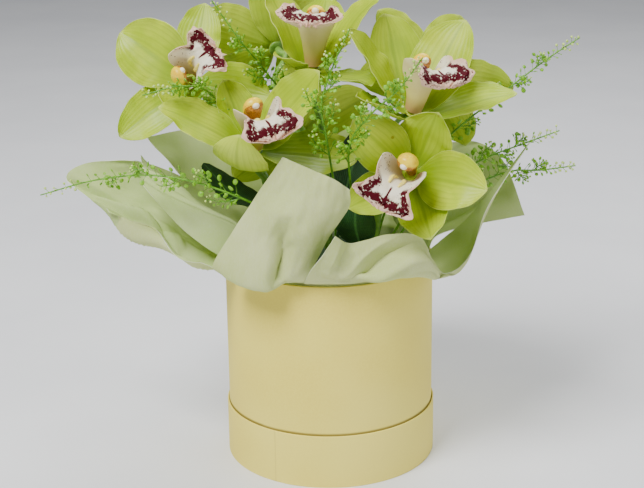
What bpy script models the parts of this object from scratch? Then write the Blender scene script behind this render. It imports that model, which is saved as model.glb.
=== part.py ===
"""Cut orchid blooms standing in wet floral foam in a round card hat box.

The blooms are carried by short spike sections, with sprigs of seed-pod greenery and a few
dark leaves between them.  Six sheets of wrapping paper are tucked between the box wall and a
plastic liner and flare out over the rim.  The box stands in its own upturned lid.

Frame: +Z up, -Y towards the front, origin at the centre of the underside of the lid's disc.
Units: the tables of shapes are in millimetres and degrees, MM turns them into metres.
"""
import math

import bpy
import numpy as np

MM = 0.001
GAP = 0.3                 # clearance between pieces that touch

# ---- box, lid, liner and foam ------------------------------------------------------------
TUBE_OUTER_R = 75.0       # outer radius of the card body
TUBE_WALL = 2.0
BOX_HEIGHT = 150.0        # rim of the body above the table
DISC_T = 2.0              # card discs of the lid and of the body's bottom
LID_HEIGHT = 39.5
LID_WALL = 1.2
LINER_WALL = 0.6
FOAM_TOP = BOX_HEIGHT - 10.0
LINER_LIP = 4.0           # how far the liner stands above the foam
ROUND_STEPS = 48

# ---- stems --------------------------------------------------------------------------------
SPIKE_R = 3.0
PEDICEL_R = 1.9
SPRIG_R = 1.0
TWIG_R = 0.5
LEAF_STALK_R = 1.3
NECK = (13, 5, 0)         # a pedicel's last points, behind its bloom
OVARY_R, NECK_END_R = 3.0, 2.4    # it swells before the bloom, then narrows
STEM_DEPTH = 40.0         # how deep a stem is pushed into the foam
HOLE_CLEARANCE = 0.4

# ---- paper --------------------------------------------------------------------------------
PAPER_T = 0.4
TUCK_GAP = 0.5            # from the bore to the outermost tucked sheet
LAYER_STEP = 0.9          # radial step between the three layers of tucked paper
PAPER_SPACE = TUCK_GAP + 3 * LAYER_STEP   # room for the sheets between the body and the liner
TUCK_DEPTH = 30.0         # length of paper below the rim

# ---- blooms -------------------------------------------------------------------------------
TEPAL_T = 1.1
SEPAL_HUB_R = 6.0
PETAL_HUB_R = SEPAL_HUB_R - 1.0
HUB_T = 2.7
LIP_T = 0.9


def unit(v):
    """The vector divided by its length."""
    v = np.asarray(v, float)
    return v / np.linalg.norm(v)


def above_rim(points):
    """Points whose heights are given above the body's rim, with heights from the table."""
    return np.asarray(points, float) + (0, 0, BOX_HEIGHT)


def smooth(points, per_span):
    """Catmull-Rom curve through the points, per_span steps between neighbours."""
    p = np.asarray(points, float)
    p = np.vstack([2 * p[0] - p[1], p, 2 * p[-1] - p[-2]])
    t = (np.arange(per_span) / per_span)[:, None]
    out = []
    for a, b, c, d in zip(p[:-3], p[1:-2], p[2:-1], p[3:]):
        out.append(0.5 * (2 * b + (c - a) * t + (2 * a - 5 * b + 4 * c - d) * t ** 2
                          + (3 * b - a - 3 * c + d) * t ** 3))
    return np.vstack(out + [p[-2:-1]])


def material(name, rgb, roughness):
    """A Principled material with one colour and one roughness."""
    mat = bpy.data.materials.get(name) or bpy.data.materials.new(name)
    mat.use_nodes = True
    shader = mat.node_tree.nodes["Principled BSDF"]
    shader.inputs["Base Color"].default_value = (*rgb, 1.0)
    shader.inputs["Roughness"].default_value = roughness
    shader.inputs["Metallic"].default_value = 0.0
    return mat


def add_object(name, verts, faces, mat, guide=False):
    """A mesh object from points in millimetres; a guide is a cutter or a joining piece."""
    mesh = bpy.data.meshes.new(name)
    mesh.from_pydata((np.asarray(verts) * MM).tolist(), [], faces)
    mesh.update()
    mesh.materials.append(mat)
    obj = bpy.data.objects.new(name, mesh)
    bpy.context.scene.collection.objects.link(obj)
    mesh.shade_smooth()
    mesh.set_sharp_from_angle(angle=math.radians(50))
    if guide:
        obj.hide_render = True
        obj.display_type = "WIRE"
    return obj


def boolean(obj, operands, operation):
    """One live Boolean against a collection of guides."""
    group = bpy.data.collections.new(obj.name + "_" + operation.lower())
    for piece in operands:
        group.objects.link(piece)
    mod = obj.modifiers.new(operation.title(), "BOOLEAN")
    mod.operation = operation
    mod.operand_type = "COLLECTION"
    mod.collection = group
    mod.solver = "EXACT"


def turned(profile, steps=ROUND_STEPS):
    """Verts and faces of a closed (radius, height) profile turned about Z.

    The profile runs anticlockwise in the radius-height plane; a point at radius 0 is a pole.
    """
    verts, rows = [], []
    for r, z in profile:
        if r == 0:
            rows.append([len(verts)] * steps)
            verts.append((0.0, 0.0, z))
        else:
            rows.append(list(range(len(verts), len(verts) + steps)))
            verts += [(r * math.cos(2 * math.pi * k / steps), r * math.sin(2 * math.pi * k / steps), z)
                      for k in range(steps)]
    faces = []
    for low, high in zip(rows, rows[1:] + rows[:1]):
        for k in range(steps):
            n = (k + 1) % steps
            ring = list(dict.fromkeys([low[k], low[n], high[n], high[k]]))
            if len(ring) > 2:
                faces.append(ring)
    return verts, faces


def tube(path, radii, sides, squash=(1.0, 1.0), side_hint=(1.0, 0.3, 0.2)):
    """Verts and faces of a capped tube along the path, its section carried without twist."""
    path = np.asarray(path, float)
    radii = np.broadcast_to(radii, len(path))
    tangent = np.gradient(path, axis=0)
    tangent /= np.linalg.norm(tangent, axis=1)[:, None]
    side = unit(np.cross(tangent[0], side_hint))
    verts = []
    for p, t, r in zip(path, tangent, radii):
        side = unit(side - t * side.dot(t))
        other = np.cross(t, side)
        for k in range(sides):
            a = 2 * math.pi * k / sides
            verts.append(p + r * (squash[0] * math.cos(a) * side + squash[1] * math.sin(a) * other))
    faces = [list(range(sides))[::-1]]
    for i in range(len(path) - 1):
        for k in range(sides):
            n = (k + 1) % sides
            faces.append([i * sides + k, i * sides + n, (i + 1) * sides + n, (i + 1) * sides + k])
    faces.append(list(range((len(path) - 1) * sides, len(path) * sides)))
    return verts, faces


def shell(grid, thickness):
    """Verts and faces of a closed sheet of the given thickness about a grid of points."""
    g = np.asarray(grid, float)
    normal = np.cross(np.gradient(g, axis=0), np.gradient(g, axis=1))
    normal /= np.linalg.norm(normal, axis=2)[..., None]
    rows, cols = g.shape[:2]
    front = g + normal * thickness / 2
    back = g - normal * thickness / 2
    verts = np.vstack([front.reshape(-1, 3), back.reshape(-1, 3)])
    at = np.arange(rows * cols).reshape(rows, cols)
    low = rows * cols
    faces = []
    for i in range(rows - 1):
        for j in range(cols - 1):
            a, b, c, d = at[i, j], at[i + 1, j], at[i + 1, j + 1], at[i, j + 1]
            faces += [[a, b, c], [a, c, d], [c + low, b + low, a + low], [d + low, c + low, a + low]]
    rim = list(at[:, 0]) + list(at[-1, 1:]) + list(at[-2::-1, -1]) + list(at[0, -2:0:-1])
    for a, b in zip(rim, rim[1:] + rim[:1]):
        faces.append([a, a + low, b + low, b])
    return verts, [[int(k) for k in f] for f in faces]


# ---- box ----------------------------------------------------------------------------------
def box_parts():
    """Lid disc and skirt, body disc and tube, liner, and the foam radius and floor."""
    card = material("yellow_card", (0.71, 0.60, 0.26), 0.6)
    film = material("liner_film", (0.75, 0.80, 0.72), 0.3)
    skirt_in = TUBE_OUTER_R + GAP
    skirt_out = skirt_in + LID_WALL
    floor = DISC_T + GAP
    bore = TUBE_OUTER_R - TUBE_WALL
    add_object("lid_disc", *turned([(0, 0), (skirt_in - GAP, 0), (skirt_in - GAP, DISC_T), (0, DISC_T)]), card)
    add_object("lid_band", *turned([(skirt_in, 0), (skirt_out, 0), (skirt_out, LID_HEIGHT),
                                    (skirt_in, LID_HEIGHT)]), card)
    add_object("box_tube", *turned([(bore, floor), (TUBE_OUTER_R, floor), (TUBE_OUTER_R, BOX_HEIGHT),
                                    (bore, BOX_HEIGHT)]), card)
    add_object("box_base", *turned([(0, floor), (bore - GAP, floor), (bore - GAP, floor + DISC_T),
                                    (0, floor + DISC_T)]), card)
    liner_r = bore - PAPER_SPACE
    liner_z = floor + DISC_T + GAP
    inner_r = liner_r - LINER_WALL
    add_object("film_liner", *turned([(0, liner_z), (liner_r, liner_z), (liner_r, FOAM_TOP + LINER_LIP),
                                      (inner_r, FOAM_TOP + LINER_LIP), (inner_r, liner_z + LINER_WALL),
                                      (0, liner_z + LINER_WALL)]), film)
    foam_z = liner_z + LINER_WALL + GAP
    foam = material("wet_foam", (0.04, 0.12, 0.05), 0.95)
    return add_object("foam_block", *turned([(0, foam_z), (inner_r - GAP, foam_z), (inner_r - GAP, FOAM_TOP),
                                             (0, FOAM_TOP)], 40), foam)


def drill(name, x, y, radius):
    """Cutter for the blind hole that a stem of this radius is pushed into."""
    deep = FOAM_TOP - STEM_DEPTH - GAP
    r = radius + HOLE_CLEARANCE
    verts, faces = turned([(0, deep), (r, deep), (r, FOAM_TOP + 5), (0, FOAM_TOP + 5)], 10)
    verts = [(vx + x, vy + y, vz) for vx, vy, vz in verts]
    return add_object("drill_" + name, verts, faces, bpy.data.materials["wet_foam"], guide=True)


# ---- paper sheets -------------------------------------------------------------------------
# Each sheet: layer (0 is outermost), the bearings of its two tucked corners (degrees from the
# front, to the right positive), and rows of points from the rim to the free edge.
SHEETS = {
    "wrap_front": (1, (-54, -8), [
        [(-62, -53, 7), (-52, -62, 6), (-38, -70, 5), (-25, -77, 5), (-13, -80, 7)],
        [(-80, -60, 10), (-63, -76, 4), (-44, -85, 2), (-27, -84, 9), (-11, -81, 16)],
        [(-66, -68, 37), (-52, -80, 33), (-34, -88, 34), (-15, -88, 38), (0, -81, 38)],
        [(-49, -74, 64), (-37, -82, 63), (-20, -88, 61), (-2, -88, 59), (13, -80, 57)],
        [(-30, -80, 93), (-20, -82, 89), (-8, -84, 84), (4, -86, 79), (14, -84, 71)]]),
    "wrap_front_right": (0, (-13, 88), [
        [(-17, -79, 5), (-3, -80, 5), (13, -79, 4), (29, -75, 5), (42, -68, 5), (55, -59, 5), (65, -47, 4),
         (73, -33, 4), (78, -18, 6), (80, -2, 8)],
        [(-13, -87, 16), (1, -85, 13), (13, -86, 8), (30, -87, 11), (48, -84, 10), (62, -76, 7), (74, -64, 1),
         (86, -48, 2), (97, -30, 13), (100, -8, 28)],
        [(-5, -92, 28), (5, -86, 24), (15, -84, 21), (32, -83, 26), (54, -82, 25), (68, -76, 13),
         (79, -64, 0), (93, -48, 4), (106, -30, 26), (116, -12, 50)],
        [(4, -92, 42), (13, -83, 34), (24, -80, 35), (40, -77, 38), (61, -76, 36), (70, -70, 17),
         (81, -61, 4), (98, -46, 13), (112, -28, 43), (144, -13, 87)]]),
    "wrap_right": (1, (78, 132), [
        [(79, 14, 7), (75, 29, 8), (64, 43, 11), (49, 56, 13)],
        [(104, 16, 14), (96, 32, 22), (80, 50, 31), (60, 64, 34)],
        [(124, 16, 18), (114, 36, 40), (96, 54, 54), (70, 68, 56)],
        [(143, 14, 22), (130, 34, 56), (112, 58, 66), (84, 78, 60)]]),
    "wrap_back": (0, (118, 236), [
        [(69, 37, 5), (48, 63, 5), (14, 79, 5), (-26, 75, 5), (-55, 58, 5), (-69, 40, 5)],
        [(86, 50, 18), (60, 78, 14), (16, 98, 22), (-34, 92, 12), (-70, 74, 18), (-87, 48, 19)],
        [(102, 60, 38), (72, 96, 30), (20, 112, 46), (-40, 108, 28), (-84, 88, 42), (-108, 48, 44)],
        [(112, 66, 64), (84, 108, 50), (24, 124, 76), (-46, 122, 48), (-98, 100, 68), (-131, 33, 80)]]),
    "wrap_back_left": (1, (228, 300), [
        [(-66, 38, 8), (-75, 24, 8), (-79, 8, 8), (-80, -8, 8), (-77, -24, 8), (-70, -38, 8)],
        [(-84, 38, 26), (-95, 22, 20), (-98, 6, 16), (-98, -12, 15), (-93, -30, 14), (-79, -50, 11)],
        [(-108, 32, 50), (-118, 18, 40), (-121, 4, 32), (-119, -14, 28), (-112, -32, 26), (-103, -52, 14)],
        [(-130, 24, 62), (-144, 14, 54), (-148, 2, 44), (-143, -12, 36), (-134, -24, 31), (-120, -34, 30)],
        [(-140, 16, 67), (-172, 10, 67), (-186, -1, 60), (-172, -8, 48), (-155, -15, 38), (-138, -22, 31)]]),
    "wrap_left": (2, (256, 311), [
        [(-75, 4, 13), (-73, -14, 13), (-69, -27, 14), (-63, -36, 17), (-60, -46, 13)],
        [(-92, 2, 32), (-84, -14, 28), (-76, -26, 29), (-58, -42, 34), (-76, -53, 17)],
        [(-112, 4, 50), (-100, -14, 40), (-88, -25, 40), (-88, -36, 47), (-98, -48, 32)],
        [(-126, 8, 64), (-116, -6, 56), (-109, -18, 54), (-112, -29, 56), (-116, -37, 48)],
        [(-134, 10, 72), (-131, -4, 67), (-129, -13, 64), (-129, -20, 63), (-130, -25, 61)]]),
}
SHEET_STEPS = 2           # grid cells between two of a sheet's points
DRAWN_R = 75.0            # body radius the sheets' points are drawn for; they widen with the body
OPENING_HEIGHT = 2.0      # a sheet starts to lean out this far above the rim
OPENING = 0.9             # how far the outermost sheet has opened there
OPENING_STEP = 0.3        # and how much less each layer inside it has


def tuck_radius(layer):
    """Radius of the middle of a tucked sheet in this layer."""
    bore = TUBE_OUTER_R - TUBE_WALL
    return bore - TUCK_GAP - PAPER_T / 2 - layer * LAYER_STEP


def sheet_grid(layer, corners, rows, steps):
    """Grid of a sheet: two tucked rows on the box's bore, then its rows over the rim, smoothed."""
    wider = TUBE_OUTER_R / DRAWN_R
    across = above_rim([smooth(row, steps) for row in rows]) * (wider, wider, 1)
    count = across.shape[1]
    bearing = np.radians(np.linspace(corners[0], corners[1], count))
    r = tuck_radius(layer)
    ring = np.stack([r * np.sin(bearing), -r * np.cos(bearing), np.zeros(count)], axis=1)
    opened = 1 + (OPENING - OPENING_STEP * layer) / r
    tucked = [ring + (0, 0, BOX_HEIGHT - TUCK_DEPTH), ring + (0, 0, BOX_HEIGHT - 1),
              ring * opened + (0, 0, BOX_HEIGHT + OPENING_HEIGHT)]
    over = np.concatenate([tucked[1:], across])
    curve = np.stack([smooth(over[:, k], steps) for k in range(count)], axis=1)
    return np.concatenate([tucked[:1], curve])


def paper_sheets():
    """The six wrapping sheets as thin closed solids."""
    paper = material("sage_paper", (0.57, 0.62, 0.40), 0.8)
    for name, (layer, corners, rows) in SHEETS.items():
        grid = sheet_grid(layer, corners, rows, SHEET_STEPS)
        add_object(name, *shell(grid, PAPER_T), paper)


# ---- blooms -------------------------------------------------------------------------------
# A tepal: bearing about the bloom's axis (degrees, 90 points to the dorsal sepal), length,
# width, rise from the bloom's plane at its base and at its tip, and cup across it.
# A bloom: centre, facing, towards the dorsal sepal, three sepals, two petals, lip size.
BLOOMS = {
    "bloom_1": ((-96, 8, 126), (-0.10, -0.91, 0.38), (-0.82, -0.18, -0.54),
                [(94, 60, 34, 28, -4, 0.5), (-44, 54, 33, 0, -12, 0.4), (222, 56, 39, 18, 8, 0.4)],
                [(19, 58, 51, 22, -8, 0.7), (140, 52, 39, 60, 72, 0.8)], 1.3),
    "bloom_2": ((-50, -40, 90), (0.05, -0.50, 0.86), (-0.35, 0.60, 0.50),
                [(92, 52, 32, 26, 38, 0.8), (-27, 66, 41, 0, -8, 0.4), (224, 58, 42, -8, 130, 0.5)],
                [(2, 70, 41, 62, 46, 0.4), (152, 70, 39, 40, 24, 0.4)], 1.45),
    "bloom_3": ((-9, -12, 139), (0.05, -0.05, 0.99), (0.15, 0.95, 0.10),
                [(90, 64, 39, 50, 40, 0.5), (-38, 52, 37, 10, 0, 0.4), (232, 36, 27, 34, 30, 0.4)],
                [(24, 66, 41, 62, 50, 0.4), (158, 64, 41, 62, 58, 0.4)], 1.45),
    "bloom_4": ((58, -34, 112), (0.18, -0.25, 0.95), (-0.30, 0.60, 0.20),
                [(90, 74, 46, 50, 40, 0.5), (-20, 70, 41, 30, 18, 0.5), (186, 52, 27, 20, 38, 0.6)],
                [(30, 74, 44, 60, 48, 0.4), (146, 72, 41, 54, 42, 0.4)], 1.45),
    "bloom_5": ((56, -48, 72), (-0.15, -0.90, 0.40), (0.50, 0.27, 0.83),
                [(92, 45, 42, 22, 44, 0.5), (-42, 54, 36, 22, 44, 0.4), (240, 47, 32, 16, 24, 0.6)],
                [(13, 58, 42, 40, 18, 0.4), (166, 54, 38, 44, 24, 0.4)], 1.45),
    "bloom_6": ((-38, 60, 141), (-0.40, 0.82, 0.33), (0.10, -0.35, 0.93),
                [(90, 60, 39, 20, 15, 0.5), (-38, 54, 39, 12, 0, 0.4), (222, 58, 41, 12, 0, 0.4)],
                [(20, 60, 41, 28, 10, 0.4), (160, 60, 41, 28, 10, 0.4)], 1.45),
    "bloom_7": ((-22, 68, 72), (-0.15, 0.93, 0.30), (0.05, -0.30, 0.95),
                [(90, 56, 39, 20, 15, 0.5), (-38, 58, 41, 12, 0, 0.4), (222, 58, 41, 12, 0, 0.4)],
                [(20, 58, 41, 28, 10, 0.4), (160, 58, 41, 28, 10, 0.4)], 1.45),
    "bloom_8": ((74, 46, 116), (0.45, 0.78, 0.43), (0.25, -0.58, 0.77),
                [(90, 58, 37, 20, 15, 0.5), (-38, 58, 39, 12, 0, 0.4), (222, 58, 39, 12, 0, 0.4)],
                [(20, 60, 41, 28, 10, 0.4), (160, 60, 41, 28, 10, 0.4)], 1.45),
}
SEPAL_LEVEL = -4.65       # heights of the tepals' bases along the bloom's axis
PETAL_LEVEL = -1.65
TEPAL_ROWS = (0, 0.14, 0.38, 0.64, 0.86, 1.0)
CLAW = 0.14               # share of a tepal's length over which it leaves the bloom's plane
HUB_HOLD = 1.6            # how far inside its hub's rim a tepal starts
SPINE_STEPS = 200         # steps in which a tepal's spine is summed
WIDEST_AT = 0.5           # share of a tepal's length where it is widest
CLAW_NARROWING = 0.84     # how much of that width is gone at its base
TIP_ROUND, TIP_BLUNT = 2.2, 0.7   # exponents of its outline from the widest place to the tip
TIP_SHARE = 0.04          # width of the tip itself, as a share


def bloom_axes(facing, dorsal):
    """Rows: the bloom's own X, Y (towards the dorsal sepal) and Z (facing)."""
    z = unit(facing)
    y = unit(np.asarray(dorsal, float) - z * np.dot(dorsal, z))
    return np.array([np.cross(y, z), y, z])


def tepal_grid(shape, level, start, rows, across):
    """A tepal: a spine whose rise changes evenly from base to tip, with an arc across it."""
    bearing, length, width, rise, tip_rise, cup = shape
    s = np.asarray(rows, float)
    fine = np.linspace(0, 1, SPINE_STEPS + 1)
    lean = np.radians((rise + (tip_rise - rise) * fine) * np.minimum(fine / CLAW, 1))
    out = length * np.concatenate([[0], np.cumsum((np.cos(lean[1:]) + np.cos(lean[:-1])) / 2 / SPINE_STEPS)])
    up = length * np.concatenate([[0], np.cumsum((np.sin(lean[1:]) + np.sin(lean[:-1])) / 2 / SPINE_STEPS)])
    out, up, lean = (np.interp(s, fine, k) for k in (out, up, lean))
    inner = 1 - CLAW_NARROWING * (1 - np.minimum(s, WIDEST_AT) / WIDEST_AT) ** 2
    outer = (1 - (np.maximum(s - WIDEST_AT, 0) / (1 - WIDEST_AT)) ** TIP_ROUND).clip(0) ** TIP_BLUNT
    half = width / 2 * np.maximum(inner * outer, TIP_SHARE)
    arc = cup * np.asarray(across)[None, :]
    side = half[:, None] * np.sin(arc) / cup
    lift = half[:, None] * (1 - np.cos(arc)) / cup
    radial = start + out[:, None] - np.sin(lean)[:, None] * lift
    height = level + up[:, None] + np.cos(lean)[:, None] * lift
    b = math.radians(bearing)
    return np.stack([radial * math.cos(b) - side * math.sin(b),
                     radial * math.sin(b) + side * math.cos(b), height], axis=2)


LIP_SPINE = [(-3.9, 0.9), (-5.5, 8), (-6.5, 16), (-8, 23), (-12, 27.5), (-18, 28), (-23, 25)]
LIP_SPREAD = ((0, 0.25, 0.5, 0.7, 0.85, 1), (7.5, 11.5, 15, 16, 12, 5))
LIP_CURL = ((0, 0.25, 0.5, 0.7, 0.85, 1), (1.9, 1.8, 1.5, 0.9, 0.4, -0.3))
COLUMN_SPINE = [(1.0, 0.8), (2.2, 8), (3.0, 15), (2.6, 22), (0.5, 28)]
COLUMN_R = (2.7, 2.7, 3.3, 4.0, 2.8)


def lip_grid(size, rows, across):
    """The lip: a trough round the column whose section opens flat into the front lobe."""
    spine = smooth(LIP_SPINE, 20)
    s = np.linspace(0, 1, len(spine))
    rows = np.asarray(rows, float)
    y, z = (np.interp(rows, s, spine[:, k]) for k in (0, 1))
    slope = np.gradient(spine, axis=0)
    ty, tz = (np.interp(rows, s, slope[:, k]) for k in (0, 1))
    long = np.hypot(ty, tz)
    spread = np.interp(rows, *LIP_SPREAD)[:, None]
    curl = np.interp(rows, *LIP_CURL)[:, None]
    arc = curl * np.asarray(across)[None, :]
    side = spread * np.sin(arc) / curl
    lift = spread * (1 - np.cos(arc)) / curl
    return size * np.stack([side, y[:, None] + lift * (tz / long)[:, None],
                            z[:, None] - lift * (ty / long)[:, None]], axis=2)


def blooms():
    """Each bloom as sepals, petals, lip and column, every one a closed solid."""
    sepal_mat = material("sepal_green", (0.42, 0.55, 0.05), 0.45)
    petal_mat = material("petal_green", (0.45, 0.58, 0.06), 0.45)
    lip_mat = material("lip_cream", (0.80, 0.72, 0.52), 0.5)
    column_mat = material("column_yellow", (0.78, 0.42, 0.03), 0.4)
    across = (-1, 0, 1)
    for name, (centre, facing, dorsal, sepals, petals, size) in BLOOMS.items():
        axes = bloom_axes(facing, dorsal)
        centre = above_rim(centre)

        def place(points):
            return np.asarray(points).reshape(-1, 3) @ axes + centre

        for part, shapes, level, hub_r, mat in (("sepals", sepals, SEPAL_LEVEL, SEPAL_HUB_R, sepal_mat),
                                                ("petals", petals, PETAL_LEVEL, PETAL_HUB_R, petal_mat)):
            low, high = level - HUB_T / 2, level + HUB_T / 2
            verts, faces = turned([(0, low), (hub_r, low), (hub_r, high), (0, high)], 12)
            hub = add_object(f"{name}_{part}", place(verts), faces, mat)
            strips = []
            for k, shape in enumerate(shapes):
                verts, faces = shell(tepal_grid(shape, level, hub_r - HUB_HOLD, TEPAL_ROWS, across), TEPAL_T)
                strips.append(add_object(f"{name}_{part}_strip_{k}", place(verts), faces, mat, guide=True))
            boolean(hub, strips, "UNION")
        rows = (0, 0.18, 0.36, 0.54, 0.72, 0.88, 1)
        verts, faces = shell(lip_grid(size, rows, (-1, -0.5, 0, 0.5, 1)), LIP_T)
        add_object(name + "_lip", place(verts), faces, lip_mat)
        path = [(0, y * size, z * size) for y, z in COLUMN_SPINE]
        verts, faces = tube(path, np.array(COLUMN_R) * size, 8, (1.0, 0.8), (0, 1, 0))
        add_object(name + "_column", place(verts), faces, column_mat)


# ---- stems, sprigs and leaves -------------------------------------------------------------
def stem_path(foot, points, steps):
    """A path straight up out of the foam, then smooth through the points above the rim."""
    x, y = foot
    start = [(x, y, FOAM_TOP + 3), (x, y, FOAM_TOP + 9)]
    curve = smooth(np.concatenate([start, above_rim(points)]), steps)
    return np.vstack([[(x, y, FOAM_TOP - STEM_DEPTH)], curve])


# A spike: where it stands in the foam, its points above, and its pedicels.  A pedicel: the
# bloom it carries, and its points from inside the main stem towards the bloom.
SPIKES = {
    "spike_right": ((32, -5), [(35, -6, 28), (42, -8, 50), (44, -9, 56)],
                    [("bloom_4", [(42, -8, 49), (47, -14, 78)]),
                     ("bloom_5", [(42, -8, 49), (52, -12, 56)])]),
    "spike_left": ((-30, -5), [(-34, -7, 30), (-40, -6, 50), (-43, -2, 58)],
                   [("bloom_2", [(-38, -6.5, 45), (-45, -20, 62)]),
                    ("bloom_1", [(-41, -4, 53), (-60, 26, 82), (-78, 34, 104)])]),
    "spike_back": ((0, 25), [(0, 26, 30), (0, 26, 64)],
                   [("bloom_3", [(0, 26, 58), (-4, 5, 90)]),
                    ("bloom_6", [(0, 26, 54), (-20, 22, 90), (-38, 22, 118)]),
                    ("bloom_7", [(0, 26, 40), (-10, 30, 56)]),
                    ("bloom_8", [(0, 26, 56), (30, 20, 76), (50, 18, 92)])]),
}


def spikes():
    """The flower stems, each one body with the pedicels that carry its blooms."""
    mat = material("stem_green", (0.16, 0.30, 0.06), 0.5)
    for name, (foot, points, pedicels) in SPIKES.items():
        verts, faces = tube(stem_path(foot, points, 3), SPIKE_R, 8)
        main = add_object(name, verts, faces, mat)
        arms = []
        for bloom, route in pedicels:
            centre, facing = BLOOMS[bloom][:2]
            back = above_rim(centre) - unit(facing) * (2 * GAP - SEPAL_LEVEL + HUB_T / 2)
            neck = [back - unit(facing) * k for k in NECK]
            path = smooth(np.concatenate([above_rim(route), neck]), 3)
            s = np.linspace(0, 1, len(path))
            radii = np.interp(s, (0, 0.6, 0.85, 1), (PEDICEL_R, PEDICEL_R, OVARY_R, NECK_END_R))
            verts, faces = tube(path, radii, 7)
            arms.append(add_object(f"{name}_arm_{bloom}", verts, faces, mat, guide=True))
        boolean(main, arms, "UNION")


# A sprig: where it stands in the foam and its points to the tip.
SPRIGS = {
    "sprig_1": ((-26, -30), [(-32, -38, 35), (-53, -58, 56), (-87, -62, 71), (-121, -58, 76),
                             (-160, -44, 69), (-200, -30, 55)]),
    "sprig_2": ((34, 14), [(48, 14, 40), (88, 20, 81), (125, 30, 108), (157, 30, 133), (181, 30, 149)]),
    "sprig_3": ((40, 2), [(60, -4, 36), (90, -18, 62), (110, -18, 74), (136, -12, 82), (163, -6, 90)]),
    "sprig_4": ((42, -12), [(58, -12, 26), (90, -6, 44), (127, 5, 57), (153, 10, 57), (178, 10, 60)]),
    "sprig_5": ((-14, 6), [(-16, 4, 50), (-30, 2, 112), (-42, -8, 135), (-59, -20, 160), (-77, -20, 187)]),
    "sprig_6": ((3, -26), [(5, -43, 50), (-1, -65, 102), (-4, -71, 126), (4, -72, 152), (15, -67, 175)]),
    "sprig_7": ((-36, 6), [(-48, 0, 60), (-60, -4, 87), (-79, -27, 124), (-97, -50, 135), (-123, -54, 130)]),
    "sprig_8": ((14, -20), [(16, -42, 50), (14, -70, 96), (26, -84, 120), (46, -90, 140), (61, -90, 160)]),
}
TWIGS = 5
FIRST_TWIG, LAST_TWIG = 0.57, 0.96        # shares of the stem where the twigs start and end
TWIG_LINE = (0, 5, 7, 9, 10.5)            # a twig's stations: stalk, pod, blunt end
TWIG_WIDTHS = (0.45, 0.4, 1.6, 1.7, 0.4)
TWIG_SHIFT = (0.07, 0.04, 0.02)           # keeps a twig's edges off the stem's own edges


def sprigs():
    """Seed-pod sprigs: a thin stem with short twigs that each end in a flat pod."""
    mat = material("pod_green", (0.14, 0.34, 0.05), 0.5)
    for name, (foot, points) in SPRIGS.items():
        path = stem_path(foot, points, 3)
        radii = np.linspace(SPRIG_R, TWIG_R, len(path))
        verts, faces = tube(path, radii, 5)
        main = add_object(name, verts, faces, mat)
        pieces = []
        for k in range(TWIGS):
            at = (FIRST_TWIG + (LAST_TWIG - FIRST_TWIG) * k / (TWIGS - 1)) * (len(path) - 1)
            i = min(int(at), len(path) - 2)
            start = path[i] + (path[i + 1] - path[i]) * (at - i)
            along = unit(path[i + 1] - path[i])
            side = unit(np.cross(along, (0, 1, 0)) * (-1) ** k)
            grow = unit(side + 0.7 * along)
            line = [start + TWIG_SHIFT + length * grow for length in TWIG_LINE]
            verts, faces = tube(line, TWIG_WIDTHS, 4, (1.0, 0.5), (0.2, 0.3, 1))
            pieces.append(add_object(f"{name}_twig_{k}", verts, faces, mat, guide=True))
        boolean(main, pieces, "UNION")


# A leaf: where its stalk stands, its points to the tip, blade width, and the side it spreads to.
LEAVES = {
    "leaf_1": ((-44, -14), [(-48, -22, 18), (-50, -31, 36), (-50, -38, 54)], 20, (0.5, 0.86, 0)),
    "leaf_2": ((24, -34), [(21, -44, 22), (18, -50, 40), (20, -52, 64)], 28, (1, 0.1, 0)),
    "leaf_3": ((4, -8), [(12, -6, 46), (18, -2, 70), (24, 2, 94)], 30, (1, 0.2, 0)),
    "leaf_4": ((-24, 30), [(-44, 38, 22), (-72, 44, 36), (-92, 46, 56)], 32, (0.6, 0.8, 0)),
    "leaf_5": ((28, 36), [(44, 52, 26), (58, 66, 44), (62, 74, 68)], 32, (0.8, -0.6, 0)),
}
LEAF_T = 0.8
BLADE_START, BLADE_SPAN = 0.4, 0.62       # where the blade begins, and its sine's half period
BLADE_FULLNESS = 0.8
BLADE_FOLD = 0.12                         # how far the midrib lies below the margins


def leaves():
    """Dark leaves: a narrow stalk that widens into a pointed blade."""
    mat = material("leaf_green", (0.03, 0.11, 0.04), 0.4)
    for name, (foot, points, width, spread) in LEAVES.items():
        path = stem_path(foot, points, 3)
        s = np.linspace(0, 1, len(path))
        blade = np.sin(np.pi * ((s - BLADE_START) / BLADE_SPAN).clip(0, 1)) ** BLADE_FULLNESS
        half = np.maximum(LEAF_STALK_R * 0.8, width / 2 * blade)
        half[-1] = LEAF_T
        spread = unit(spread)
        grid = np.stack([path + k * half[:, None] * spread for k in (-1, 0, 1)], axis=1)
        grid[:, 1, 2] -= half * BLADE_FOLD * (s > BLADE_START)
        add_object(name, *shell(grid, LEAF_T), mat)


def main():
    for obj in list(bpy.data.objects):
        bpy.data.objects.remove(obj, do_unlink=True)
    foam = box_parts()
    paper_sheets()
    blooms()
    spikes()
    sprigs()
    leaves()
    holes = [drill(n, *SPIKES[n][0], SPIKE_R) for n in SPIKES]
    holes += [drill(n, *SPRIGS[n][0], SPRIG_R) for n in SPRIGS]
    holes += [drill(n, *LEAVES[n][0], LEAF_STALK_R) for n in LEAVES]
    boolean(foam, holes, "DIFFERENCE")


main()
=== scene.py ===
"""Cut green orchid blooms in wrapping paper, standing in a round butter-yellow hat box.

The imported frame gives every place: the box's radii and heights, each bloom's own axes, the
foots of the stems.  The fine surfaces here are numpy grids laid on those places.
Lengths in the tables are millimetres, angles are degrees.
"""
import math

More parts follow.
